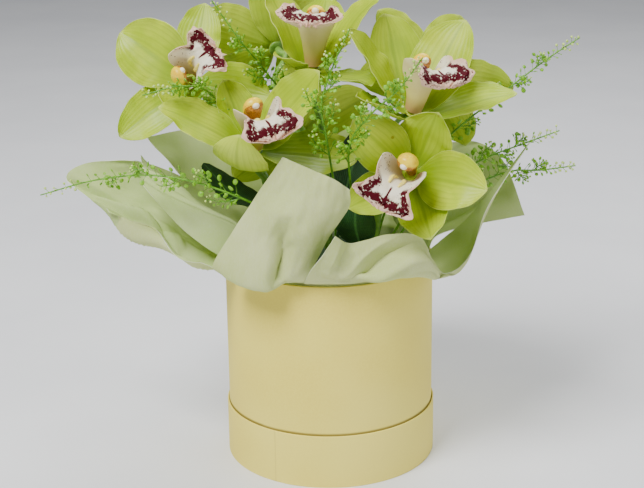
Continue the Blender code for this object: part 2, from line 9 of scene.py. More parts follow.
import bpy
import numpy as np
from mathutils import Matrix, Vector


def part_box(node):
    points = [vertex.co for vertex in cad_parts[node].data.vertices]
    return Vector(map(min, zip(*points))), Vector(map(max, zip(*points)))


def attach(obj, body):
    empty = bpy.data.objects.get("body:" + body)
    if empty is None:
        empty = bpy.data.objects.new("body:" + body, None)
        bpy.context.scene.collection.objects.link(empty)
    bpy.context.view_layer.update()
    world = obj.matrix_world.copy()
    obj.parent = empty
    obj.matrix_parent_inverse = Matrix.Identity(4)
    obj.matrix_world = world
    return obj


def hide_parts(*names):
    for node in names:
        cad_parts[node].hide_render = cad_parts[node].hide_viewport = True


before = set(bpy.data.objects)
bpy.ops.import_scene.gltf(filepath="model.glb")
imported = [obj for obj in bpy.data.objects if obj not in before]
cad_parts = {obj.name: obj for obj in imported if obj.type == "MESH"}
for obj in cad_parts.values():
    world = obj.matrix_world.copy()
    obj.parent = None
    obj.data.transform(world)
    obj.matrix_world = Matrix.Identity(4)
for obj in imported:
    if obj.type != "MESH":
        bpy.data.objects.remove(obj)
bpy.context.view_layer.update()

MM = 0.001
RIM = (0, 0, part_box("box_tube")[1].z / MM)      # the tables' heights are above the body's rim


# ---- arithmetic ---------------------------------------------------------------------------
def unit(v):
    """Each vector divided by its length."""
    v = np.asarray(v, float)
    return v / np.maximum(np.linalg.norm(v, axis=-1, keepdims=True), 1e-12)


def smooth(points, steps):
    """Catmull-Rom curve through points: in each span, a cubic in t with tangents (next - last) / 2."""
    p = np.asarray(points, float)
    ends = np.concatenate([2 * p[:1] - p[1:2], p, 2 * p[-1:] - p[-2:-1]])
    a, b, c, d = ends[:-3], ends[1:-2], ends[2:-1], ends[3:]
    t = np.arange(steps).reshape(1, -1, *([1] * (p.ndim - 1))) / steps
    a, b, c, d = (k[:, None] for k in (a, b, c, d))
    curve = b + t / 2 * (c - a + t * (2 * a - 5 * b + 4 * c - d + t * (3 * (b - c) + d - a)))
    return np.concatenate([curve.reshape(-1, *p.shape[1:]), p[-1:]])


def step(x, low, high):
    """Smooth step: 0 below low, 1 above high, 3t^2 - 2t^3 between."""
    t = ((np.asarray(x, float) - low) / (high - low)).clip(0, 1)
    return t * t * (3 - 2 * t)


def ripple(u, seed, waves):
    """Sum of a few sines of u with seeded phases, falling off as 1 / frequency, about -1 to 1."""
    rng = np.random.default_rng(seed)
    parts = [np.sin(2 * np.pi * (w * u + rng.random())) / (1 + 0.35 * k) for k, w in enumerate(waves)]
    return sum(parts) / len(waves) ** 0.7


# ---- surfaces -----------------------------------------------------------------------------
def quads(rows, cols, wrap=False):
    """Faces of a rows x cols grid of points, row by row, joined round when wrap is set."""
    r, c = np.meshgrid(np.arange(rows - 1), np.arange(cols if wrap else cols - 1), indexing="ij")
    d = (c + 1) % cols
    return np.stack([r * cols + c, r * cols + d, (r + 1) * cols + d, (r + 1) * cols + c], -1).reshape(-1, 4)


def grid_normals(grid):
    """Unit normals of a grid: the cross product of its two differences."""
    return unit(np.cross(np.gradient(grid, axis=1), np.gradient(grid, axis=0)))


def thin_solid(grid, thick):
    """A closed solid of given thickness about a grid.  Faces are marked 0 front, 1 back, 2 edge."""
    rows, cols = grid.shape[:2]
    half = grid_normals(grid) * (np.broadcast_to(thick, (rows, cols)) / 2)[:, :, None]
    verts = np.concatenate([(grid + half).reshape(-1, 3), (grid - half).reshape(-1, 3)])
    top = quads(rows, cols)
    n = rows * cols
    index = np.arange(n).reshape(rows, cols)
    loop = np.concatenate([index[0, :-1], index[:-1, -1], index[-1, :0:-1], index[:0:-1, 0]])
    nxt = np.roll(loop, -1)
    edge = np.stack([loop + n, nxt + n, nxt, loop], -1)
    s, t = np.meshgrid(np.linspace(0, 1, rows), np.linspace(0, 1, cols), indexing="ij")
    uv = np.tile(np.stack([s, t], -1).reshape(-1, 2), (2, 1))
    faces = np.concatenate([top, top[:, ::-1] + n, edge])
    side = np.concatenate([np.zeros(len(top)), np.ones(len(top)), np.full(len(edge), 2)]).astype(int)
    return verts, [faces], uv, side


def tube(path, radii, sides, squash=(1.0, 1.0), hint=(0.31, 0.2, 0.93)):
    """A closed tube: rings square to the path, each pair of ends closed on a point."""
    path = np.asarray(path, float)
    along = unit(np.gradient(path, axis=0))
    across = unit(np.cross(along, np.broadcast_to(np.asarray(hint, float), along.shape)))
    up = np.cross(across, along)
    a = 2 * np.pi * np.arange(sides) / sides
    ring = (np.cos(a)[None, :, None] * across[:, None] * squash[0]
            + np.sin(a)[None, :, None] * up[:, None] * squash[1])
    rings = path[:, None] + np.broadcast_to(radii, len(path))[:, None, None] * ring
    n = len(path)
    verts = np.concatenate([rings.reshape(-1, 3), path[:1], path[-1:]])
    k = np.arange(sides)
    k1 = (k + 1) % sides
    body = quads(n, sides, wrap=True)[:, ::-1]
    ends = np.concatenate([np.stack([k, k1, np.full(sides, n * sides)], -1),
                           np.stack([k1, k, np.full(sides, n * sides + 1)], -1)
                           + [(n - 1) * sides, (n - 1) * sides, 0]])
    s = np.linspace(0, 1, n)
    uv = np.concatenate([np.stack(np.meshgrid(s, k / sides, indexing="ij"), -1).reshape(-1, 2), [(0, 0), (1, 0)]])
    return verts, [body, ends], uv, np.zeros(len(body) + len(ends), int)


def turned(radius, height, sides, seam=None):
    """A closed turned ring: the profile (radius, height) loops back on itself.  seam(angle) adds to the radius."""
    a = 2 * np.pi * np.arange(sides) / sides
    extra = 0 if seam is None else seam(a)[:, None] * (radius > np.mean(radius))[None, :]
    r = radius[None, :] + extra
    verts = np.stack([r * np.sin(a)[:, None], -r * np.cos(a)[:, None],
                      np.broadcast_to(height, r.shape)], -1)
    n = len(radius)
    i, j = np.meshgrid(np.arange(sides), np.arange(n), indexing="ij")
    i1, j1 = (i + 1) % sides, (j + 1) % n
    faces = np.stack([i * n + j, i1 * n + j, i1 * n + j1, i * n + j1], -1).reshape(-1, 4)
    uv = np.stack([np.repeat(a / (2 * np.pi), n), np.tile(np.linspace(0, 1, n), sides)], -1)
    return verts.reshape(-1, 3), [faces], uv, np.zeros(len(faces), int)


def joined(parts, marks=None):
    """Several closed surfaces as one; marks gives each its own material number."""
    verts, faces, uvs, sides, base = [], [], [], [], 0
    for k, (v, f, uv, side) in enumerate(parts):
        verts.append(v)
        faces += [g + base for g in f]
        uvs.append(uv)
        sides.append(side if marks is None else np.full(len(side), marks[k]))
        base += len(v)
    return np.concatenate(verts), faces, np.concatenate(uvs), np.concatenate(sides)


def add_piece(name, surface, mats, stands_for):
    """Puts a surface in as an object that stands for its CAD nodes and rides on the one body."""
    verts, faces, uv, side = surface
    loops = np.concatenate([f.ravel() for f in faces])
    counts = np.concatenate([np.full(len(f), f.shape[1]) for f in faces])
    mesh = bpy.data.meshes.new(name)
    mesh.vertices.add(len(verts))
    mesh.vertices.foreach_set("co", (np.asarray(verts) * MM).astype(np.float32).ravel())
    mesh.loops.add(len(loops))
    mesh.loops.foreach_set("vertex_index", loops.astype(np.int32))
    mesh.polygons.add(len(counts))
    mesh.polygons.foreach_set("loop_start", np.concatenate([[0], np.cumsum(counts)[:-1]]).astype(np.int32))
    mesh.polygons.foreach_set("material_index", side.astype(np.int32))
    mesh.uv_layers.new(name="shape").data.foreach_set("uv", uv[loops].astype(np.float32).ravel())
    for mat in mats:
        mesh.materials.append(mat)
    mesh.update(calc_edges=True)
    mesh.validate()
    mesh.shade_smooth()
    mesh.set_sharp_from_angle(angle=math.radians(50))
    obj = bpy.data.objects.new(name, mesh)
    bpy.context.scene.collection.objects.link(obj)
    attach(obj, "root")
    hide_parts(*stands_for)
    return obj


# ---- materials ----------------------------------------------------------------------------
def colour(code):
    """Linear RGBA of an sRGB hex colour."""
    c = np.array([int(code[i:i + 2], 16) for i in (1, 3, 5)]) / 255
    return (*np.where(c <= 0.04045, c / 12.92, ((c + 0.055) / 1.055) ** 2.4).tolist(), 1.0)


def node(tree, kind, props=None, **inputs):
    """Adds a shader node.  Inputs go by socket name (or _0, _1): sockets are linked, values are set."""
    n = tree.nodes.new("ShaderNode" + kind)
    for key, value in (props or {}).items():
        setattr(n, key, value)
    for key, value in inputs.items():
        socket = n.inputs[int(key[1:])] if key[0] == "_" else n.inputs[key.replace("_", " ")]
        if isinstance(value, bpy.types.NodeSocket):
            tree.links.new(value, socket)
        else:
            socket.default_value = value
    return n


def calc(tree, operation, a, b=0.0):
    """The output of a Math node."""
    return node(tree, "Math", {"operation": operation}, _0=a, _1=b).outputs[0]


def ramp(tree, value, low, high, to_low=0.0, to_high=1.0):
    """The output of a smooth Map Range from low..high to to_low..to_high."""
    return node(tree, "MapRange", {"interpolation_type": "SMOOTHSTEP"}, Value=value, From_Min=low,
                From_Max=high, To_Min=to_low, To_Max=to_high).outputs[0]


def mix(tree, factor, a, b):
    """The colour output of a mix of two colours."""
    return node(tree, "MixRGB", Fac=factor, Color1=a, Color2=b).outputs[0]


def new_material(name):
    """An empty material: returns it, its tree, its Principled shader and object coordinates."""
    mat = bpy.data.materials.new(name)
    mat.use_nodes = True
    tree = mat.node_tree
    shader = tree.nodes["Principled BSDF"]
    place = node(tree, "TexCoord").outputs["Object"]
    return mat, tree, shader, place


def noise(tree, place, per_metre, detail=4.0, rough=0.5, stretch=None):
    """Noise value: per_metre is the pattern's cells in a metre, stretch scales the axes."""
    if stretch is not None:
        place = node(tree, "Mapping", Vector=place, Scale=stretch).outputs[0]
    return node(tree, "TexNoise", Vector=place, Scale=per_metre, Detail=detail, Roughness=rough).outputs["Fac"]


def bump(tree, shader, height, depth, strength=1.0):
    """Bump of the given depth in metres."""
    n = node(tree, "Bump", Height=height, Distance=depth, Strength=strength)
    tree.links.new(n.outputs[0], shader.inputs["Normal"])


def card_material(name, light, base, shade, lap=0.0, painted_gap_shade=0.0):
    """Paper-covered card, pressed and matte: a fine felt grain, slow drifts of tone, rare dark specks; painted shade
    below the lid skirt's top and a seam line partly painted shadow.
    """
    mat, t, shader, place = new_material(name)
    grain = noise(t, place, 700, 6, 0.65)
    drift = noise(t, place, 9, 2)
    tone = mix(t, ramp(t, drift, 0.3, 0.7), colour(shade), colour(light))
    tone = mix(t, 0.55, tone, colour(base))
    tone = mix(t, ramp(t, grain, 0.35, 0.75, 0.0, 0.35), tone, colour(light))
    cells = node(t, "TexVoronoi", Vector=place, Scale=45.0, Randomness=1.0)
    rare = ramp(t, noise(t, place, 30, 0), 0.56, 0.6)
    speck = calc(t, "MULTIPLY", ramp(t, cells.outputs["Distance"], 0.016, 0.03, 1.0, 0.0), rare)
    tone = mix(t, calc(t, "MULTIPLY", speck, 0.75), tone, colour("#6B5526"))
    x, y, z = node(t, "SeparateXYZ", Vector=place).outputs
    # a darker line along the lid's seam lap: partly the wrap's cut edge, partly painted shadow of the lap
    sine, cosine = math.sin(math.radians(SEAM)), math.cos(math.radians(SEAM))
    aside = calc(t, "ABSOLUTE", calc(t, "ADD", calc(t, "MULTIPLY", x, cosine), calc(t, "MULTIPLY", y, sine)))
    seam = calc(t, "MULTIPLY", ramp(t, aside, 0.0002, 0.0006, lap, 0.0), calc(t, "LESS_THAN", y, 0.0))
    tone = mix(t, seam, tone, colour("#8C7434"))
    # painted shade: the card darkens below a line just above the lid skirt's top, standing in for the shadow in the
    # gap between body and skirt
    above = calc(t, "SUBTRACT", z, LID_TOP)
    tone = mix(t, ramp(t, above, 0.0008, 0.0022, painted_gap_shade, 0.0), tone, colour("#5E4A1E"))
    t.links.new(tone, shader.inputs["Base Color"])
    t.links.new(ramp(t, grain, 0.3, 0.7, 0.55, 0.72), shader.inputs["Roughness"])
    shader.inputs["Specular IOR Level"].default_value = 0.35
    bump(t, shader, grain, 0.00012, 0.8)
    return mat


def paper_material(name, base, light, glow, share):
    """Matte florists' kraft paper, thin enough to glow: fibres, faint clouding, soft hand creases."""
    mat, t, shader, place = new_material(name)
    fibre = noise(t, place, 900, 5, 0.7, (1.0, 1.0, 0.35))
    cloud = noise(t, place, 28, 3)
    crease = node(t, "TexNoise", {"noise_type": "RIDGED_MULTIFRACTAL"}, Vector=place, Scale=16.0,
                  Detail=2.0).outputs["Fac"]
    tone = mix(t, ramp(t, cloud, 0.3, 0.7), colour(base), colour(light))
    tone = mix(t, ramp(t, fibre, 0.4, 0.8, 0.0, 0.25), tone, colour("#F4F3E2"))
    t.links.new(tone, shader.inputs["Base Color"])
    t.links.new(ramp(t, fibre, 0.3, 0.7, 0.6, 0.8), shader.inputs["Roughness"])
    shader.inputs["Specular IOR Level"].default_value = 0.3
    height = calc(t, "ADD", calc(t, "MULTIPLY", fibre, 0.12), calc(t, "MULTIPLY", crease, 0.6))
    bump(t, shader, height, 0.0012, 0.45)
    through = node(t, "BsdfTranslucent", Color=colour(glow))
    both = node(t, "MixShader", _0=share, _1=shader.outputs[0], _2=through.outputs[0])
    t.links.new(both.outputs[0], t.nodes["Material Output"].inputs["Surface"])
    return mat


def tepal_material(name, base, light, vein, throat, margin):
    """Waxy live tepal: fine lengthwise veins, a deeper green base, a pale thin margin, light passing through."""
    mat, t, shader, place = new_material(name)
    s, across, _ = node(t, "SeparateXYZ", Vector=node(t, "UVMap", {"uv_map": "shape"}).outputs[0]).outputs
    wander = calc(t, "MULTIPLY", calc(t, "SUBTRACT", noise(t, place, 60, 2), 0.5), 0.055)
    lane = calc(t, "ADD", across, wander)
    lines = calc(t, "SINE", calc(t, "MULTIPLY", lane, 2 * math.pi * 13))
    fine = calc(t, "SINE", calc(t, "MULTIPLY", lane, 2 * math.pi * 37))
    side = calc(t, "ABSOLUTE", calc(t, "SUBTRACT", calc(t, "MULTIPLY", across, 2.0), 1.0))
    patches = noise(t, place, 45, 4)
    tone = mix(t, ramp(t, patches, 0.3, 0.7), colour(base), colour(light))
    deep = calc(t, "MULTIPLY", ramp(t, s, 0.0, 0.55, 1.0, 0.0), ramp(t, side, 0.2, 1.0, 1.0, 0.35))
    tone = mix(t, calc(t, "MULTIPLY", deep, 0.75), tone, colour(throat))
    veins = calc(t, "MULTIPLY", ramp(t, lines, 0.2, 1.0), ramp(t, s, 0.35, 1.0, 0.30, 0.10))
    veins = calc(t, "ADD", veins, calc(t, "MULTIPLY", ramp(t, fine, 0.3, 1.0), 0.10))
    tone = mix(t, veins, tone, colour(vein))
    rib = ramp(t, side, 0.015, 0.06, 0.5, 0.0)
    tone = mix(t, rib, tone, colour(vein))
    edge = calc(t, "MAXIMUM", ramp(t, side, 0.93, 1.0), ramp(t, s, 0.95, 1.0))
    tone = mix(t, calc(t, "MULTIPLY", edge, 0.6), tone, colour(margin))
    spots = node(t, "TexVoronoi", Vector=place, Scale=70.0)
    rare = ramp(t, noise(t, place, 22, 0), 0.63, 0.66)
    blot = calc(t, "MULTIPLY", ramp(t, spots.outputs["Distance"], 0.05, 0.12, 0.6, 0.0), rare)
    tone = mix(t, blot, tone, colour("#7A6A20"))
    t.links.new(tone, shader.inputs["Base Color"])
    t.links.new(ramp(t, patches, 0.3, 0.7, 0.34, 0.48), shader.inputs["Roughness"])
    shader.inputs["Specular IOR Level"].default_value = 0.42
    height = calc(t, "ADD", calc(t, "MULTIPLY", lines, 0.25), calc(t, "MULTIPLY", patches, 0.7))
    bump(t, shader, height, 0.0005, 0.35)
    through = node(t, "BsdfTranslucent", Color=tone)
    both = node(t, "MixShader", _0=0.32, _1=shader.outputs[0], _2=through.outputs[0])
    t.links.new(both.outputs[0], t.nodes["Material Output"].inputs["Surface"])
    return mat


def lip_material(name, inside):
    """Fleshy lip, cream and velvety: inside, maroon blotches follow the front lobe's margin within a peach rim."""
    mat, t, shader, place = new_material(name)
    s, across, _ = node(t, "SeparateXYZ", Vector=node(t, "UVMap", {"uv_map": "shape"}).outputs[0]).outputs
    side = calc(t, "ABSOLUTE", calc(t, "SUBTRACT", calc(t, "MULTIPLY", across, 2.0), 1.0))
    cloud = noise(t, place, 90, 3)
    tone = mix(t, ramp(t, cloud, 0.3, 0.7), colour("#EFE5C6"), colour("#F6F0DA"))
    if inside:
        rim = calc(t, "MINIMUM", calc(t, "SUBTRACT", 1.0, side),
                   calc(t, "MULTIPLY", calc(t, "SUBTRACT", 1.0, s), 2.3))
        rough_rim = calc(t, "ADD", rim, calc(t, "MULTIPLY", calc(t, "SUBTRACT", noise(t, place, 420, 3), 0.5), 0.34))
        front = ramp(t, s, 0.60, 0.68)
        band = calc(t, "MULTIPLY", ramp(t, rough_rim, 0.13, 0.19), ramp(t, rough_rim, 0.40, 0.50, 1.0, 0.0))
        gaps = ramp(t, noise(t, place, 520, 2), 0.32, 0.40)
        band = calc(t, "MULTIPLY", calc(t, "MULTIPLY", band, gaps), front)
        dots = node(t, "TexVoronoi", Vector=place, Scale=620.0).outputs["Distance"]
        dots = calc(t, "MULTIPLY", ramp(t, dots, 0.22, 0.34, 1.0, 0.0), ramp(t, noise(t, place, 260, 1), 0.5, 0.58))
        dots = calc(t, "MULTIPLY", dots, calc(t, "MULTIPLY", ramp(t, s, 0.26, 0.4), ramp(t, side, 0.3, 0.5)))
        line = calc(t, "MULTIPLY", ramp(t, side, 0.03, 0.06, 1.0, 0.0),
                    calc(t, "MULTIPLY", ramp(t, s, 0.64, 0.69), ramp(t, s, 0.86, 0.9, 1.0, 0.0)))
        pink = calc(t, "MULTIPLY", ramp(t, rim, 0.06, 0.30, 1.0, 0.0), ramp(t, s, 0.5, 0.66))
        tone = mix(t, calc(t, "MULTIPLY", pink, 0.75), tone, colour("#E9B49A"))
        throat = ramp(t, s, 0.1, 0.45, 1.0, 0.0)
        tone = mix(t, calc(t, "MULTIPLY", throat, 0.5), tone, colour("#E8D27A"))
        mask = calc(t, "MINIMUM", calc(t, "ADD", band, calc(t, "MAXIMUM", dots, line)), 1.0)
        tone = mix(t, mask, tone, colour("#4E0011"))
    else:
        tone = mix(t, ramp(t, s, 0.0, 0.6, 0.95, 0.5), tone, colour("#DCCB58"))
        tone = mix(t, ramp(t, s, 0.0, 0.22, 0.6, 0.0), tone, colour("#C4826C"))
        tone = mix(t, ramp(t, s, 0.6, 0.95, 0.0, 0.4), tone, colour("#E4B8A0"))
    t.links.new(tone, shader.inputs["Base Color"])
    shader.inputs["Roughness"].default_value = 0.6
    shader.inputs["Specular IOR Level"].default_value = 0.15
    bump(t, shader, noise(t, place, 900, 4), 0.0003, 0.5)
    through = node(t, "BsdfTranslucent", Color=tone)
    both = node(t, "MixShader", _0=0.15, _1=shader.outputs[0], _2=through.outputs[0])
    t.links.new(both.outputs[0], t.nodes["Material Output"].inputs["Surface"])
    return mat


def column_material():
    """Waxy column: a yellow-orange back and hood, and a brown face speckled with rust under it."""
    mat, t, shader, place = new_material("column_flesh")
    s, round_, _ = node(t, "SeparateXYZ", Vector=node(t, "UVMap", {"uv_map": "shape"}).outputs[0]).outputs
    face = calc(t, "COSINE", calc(t, "MULTIPLY", calc(t, "SUBTRACT", round_, 0.75), 2 * math.pi))
    face = calc(t, "MULTIPLY", ramp(t, face, -0.25, 0.25), ramp(t, s, 0.95, 1.0, 1.0, 0.0))
    speck = ramp(t, noise(t, place, 1500, 2), 0.44, 0.56)
    tone = mix(t, ramp(t, noise(t, place, 120, 3), 0.3, 0.7), colour("#F0C000"), colour("#FFE210"))
    tone = mix(t, ramp(t, s, 0.0, 0.45, 0.8, 0.0), tone, colour("#DCCB62"))
    brown = mix(t, speck, colour("#7A3000"), colour("#C07A10"))
    tone = mix(t, calc(t, "MULTIPLY", face, 0.9), tone, brown)
    t.links.new(tone, shader.inputs["Base Color"])
    shader.inputs["Roughness"].default_value = 0.36
    shader.inputs["Subsurface Weight"].default_value = 0.15
    shader.inputs["Subsurface Radius"].default_value = (0.002, 0.0015, 0.0008)
    bump(t, shader, noise(t, place, 800, 3), 0.0002, 0.4)
    return mat


def flesh_material(name, base, other, per_metre, rough, depth=0.0002):
    """Living tissue with a mottle: waxy anther, stem, pod or leaf skin, at a scale of per_metre cells."""
    mat, t, shader, place = new_material(name)
    mottle = noise(t, place, per_metre, 4, 0.6)
    fine = noise(t, place, per_metre * 6, 3)
    tone = mix(t, ramp(t, mottle, 0.3, 0.7), colour(base), colour(other))
    t.links.new(mix(t, ramp(t, fine, 0.5, 0.8, 0.0, 0.3), tone, colour(other)), shader.inputs["Base Color"])
    t.links.new(ramp(t, fine, 0.3, 0.7, rough - 0.06, rough + 0.08), shader.inputs["Roughness"])
    bump(t, shader, fine, depth, 0.5)
    return mat


def leaf_material():
    """Dark glossy foliage: a pale midrib, side veins running to the tip, a waxy skin."""
    mat, t, shader, place = new_material("dark_leaf")
    s, across, _ = node(t, "SeparateXYZ", Vector=node(t, "UVMap", {"uv_map": "shape"}).outputs[0]).outputs
    side = calc(t, "ABSOLUTE", calc(t, "SUBTRACT", calc(t, "MULTIPLY", across, 2.0), 1.0))
    veins = calc(t, "SINE", calc(t, "MULTIPLY", calc(t, "SUBTRACT", calc(t, "MULTIPLY", s, 2.4), side), 60.0))
    tone = mix(t, ramp(t, noise(t, place, 60, 4), 0.3, 0.7), colour("#16371A"), colour("#2A5A2C"))
    tone = mix(t, ramp(t, veins, 0.6, 1.0, 0.0, 0.35), tone, colour("#3E7A3A"))
    tone = mix(t, ramp(t, side, 0.02, 0.09, 0.8, 0.0), tone, colour("#5C9450"))
    t.links.new(tone, shader.inputs["Base Color"])
    shader.inputs["Roughness"].default_value = 0.36
    bump(t, shader, veins, 0.0003, 0.4)
    return mat


def foam_material():
    """Wet floral foam: dark green, open fine cells, a soaked sheen."""
    mat, t, shader, place = new_material("wet_foam")
    cells = node(t, "TexVoronoi", Vector=place, Scale=900.0).outputs["Distance"]
    tone = mix(t, ramp(t, noise(t, place, 40, 3), 0.3, 0.7), colour("#1E3B22"), colour("#2F5631"))
    t.links.new(mix(t, ramp(t, cells, 0.2, 0.6, 0.5, 0.0), tone, colour("#12241A")), shader.inputs["Base Color"])
    shader.inputs["Roughness"].default_value = 0.6
    bump(t, shader, cells, 0.0006, 0.8)
    return mat


def film_material():
    """Clear polyethylene liner: glassy thin film with faint wrinkles and milky streaks."""
    mat, t, shader, place = new_material("liner_film")
    wrinkle = noise(t, place, 70, 4, 0.6, (1.0, 1.0, 0.2))
    t.links.new(mix(t, ramp(t, wrinkle, 0.4, 0.8, 0.0, 0.4), colour("#E9F2EC"), colour("#FFFFFF")),
                shader.inputs["Base Color"])
    shader.inputs["Transmission Weight"].default_value = 0.85
    shader.inputs["IOR"].default_value = 1.3
    t.links.new(ramp(t, wrinkle, 0.3, 0.7, 0.08, 0.25), shader.inputs["Roughness"])
    bump(t, shader, wrinkle, 0.0008, 0.6)
    return mat


SEAM = -31.6
LID_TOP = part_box("lid_band")[1][2]
# the body card carries the painted shade below the lid skirt's top edge
CARD = card_material("box_card", "#F6E878", "#EEDC60", "#DFC84A", painted_gap_shade=0.75)
# the lid card carries a darker seam line, partly the wrap's cut edge and partly painted shadow of the lap
LID_CARD = card_material("lid_card", "#F7E97A", "#EFDD62", "#DFC94C", lap=0.22)
PAPER_OUT = paper_material("sage_paper_outside", "#CDD88A", "#DCE2A0", "#C9D476", 0.28)
PAPER_IN = paper_material("sage_paper_inside", "#CDE08E", "#DCE9A6", "#BCD568", 0.42)
PAPER_CUT = paper_material("sage_paper_cut_edge", "#EDF1CE", "#F6F8E4", "#DEE6B4", 0.2)
SEPAL = tepal_material("sepal", "#AECB08", "#CBE02A", "#8FB010", "#6F9A08", "#E6F086")
SEPAL_BACK = tepal_material("sepal_back", "#B6CE26", "#CEDF44", "#98B424", "#86AA1C", "#E2EC86")
PETAL = tepal_material("petal", "#B4CE0C", "#D0E22E", "#94B414", "#74A00A", "#E8F288")
PETAL_BACK = tepal_material("petal_back", "#BAD02C", "#D2E048", "#9CB628", "#8AAE20", "#E4EE88")
LIP_IN = lip_material("lip_inside", True)
LIP_OUT = lip_material("lip_outside", False)
COLUMN = column_material()
ANTHER = flesh_material("anther_cap", "#F3E6C4", "#FBF5E4", 400, 0.4)
CALLUS = flesh_material("callus", "#EFD84E", "#F8EC8C", 500, 0.45)
STEM = flesh_material("flower_stem", "#5E8A2C", "#7BA341", 250, 0.42)
TWIG = flesh_material("sprig_stem", "#4A8408", "#6CA41C", 300, 0.5)
POD = flesh_material("seed_pod", "#5C9A08", "#8CC020", 500, 0.45)
BUD = flesh_material("sprig_bud", "#A4C83C", "#CFE284", 700, 0.55)
LEAF = leaf_material()
FOAM = foam_material()
FILM = film_material()


# ---- the box ------------------------------------------------------------------------------
def ring_profile(inner, outer, low, high, soft, fine=6):
    """A rectangular ring section with rounded corners, as radius and height arrays, counter-clockwise."""
    a = np.linspace(0, np.pi / 2, fine)
    centres = [(outer - soft, low + soft, -np.pi / 2), (outer - soft, high - soft, 0),
               (inner + soft, high - soft, np.pi / 2), (inner + soft, low + soft, np.pi)]
    r = np.concatenate([x + soft * np.cos(a + turn) for x, z, turn in centres])
    z = np.concatenate([z + soft * np.sin(a + turn) for x, z, turn in centres])
    return r, z


def round_piece(name, cad, wall, soft, mat, seam_at, sides=256):
    """A card ring in a CAD node's place: its wrap overlaps itself at seam_at by one paper's thickness."""
    low, high = (np.array(c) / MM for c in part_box(cad))
    outer = (high[0] - low[0]) / 2
    seam = np.radians(seam_at)

    def lap(a):
        turn = (a - seam + np.pi) % (2 * np.pi) - np.pi
        return 0.22 * step(turn, 0, 0.006) * (1 - step(turn, 0.05, 0.3)) + 0.10 * np.sin(3 * a + 1)

    r, z = ring_profile(outer - wall, outer, low[2], high[2], soft)
    return add_piece(name, turned(r, z, sides, lap), [mat], [cad])


def build_box():
    """Body tube and lid skirt as fine rings; discs, liner and foam keep their CAD shapes."""
    round_piece("body_card", "box_tube", 2.0, 0.6, CARD, -40)
    round_piece("lid_skirt", "lid_band", 1.2, 0.45, LID_CARD, -26)
    for name, mat in (("lid_disc", LID_CARD), ("box_base", CARD), ("film_liner", FILM), ("foam_block", FOAM)):
        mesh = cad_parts[name].data
        mesh.materials.clear()
        mesh.materials.append(mat)


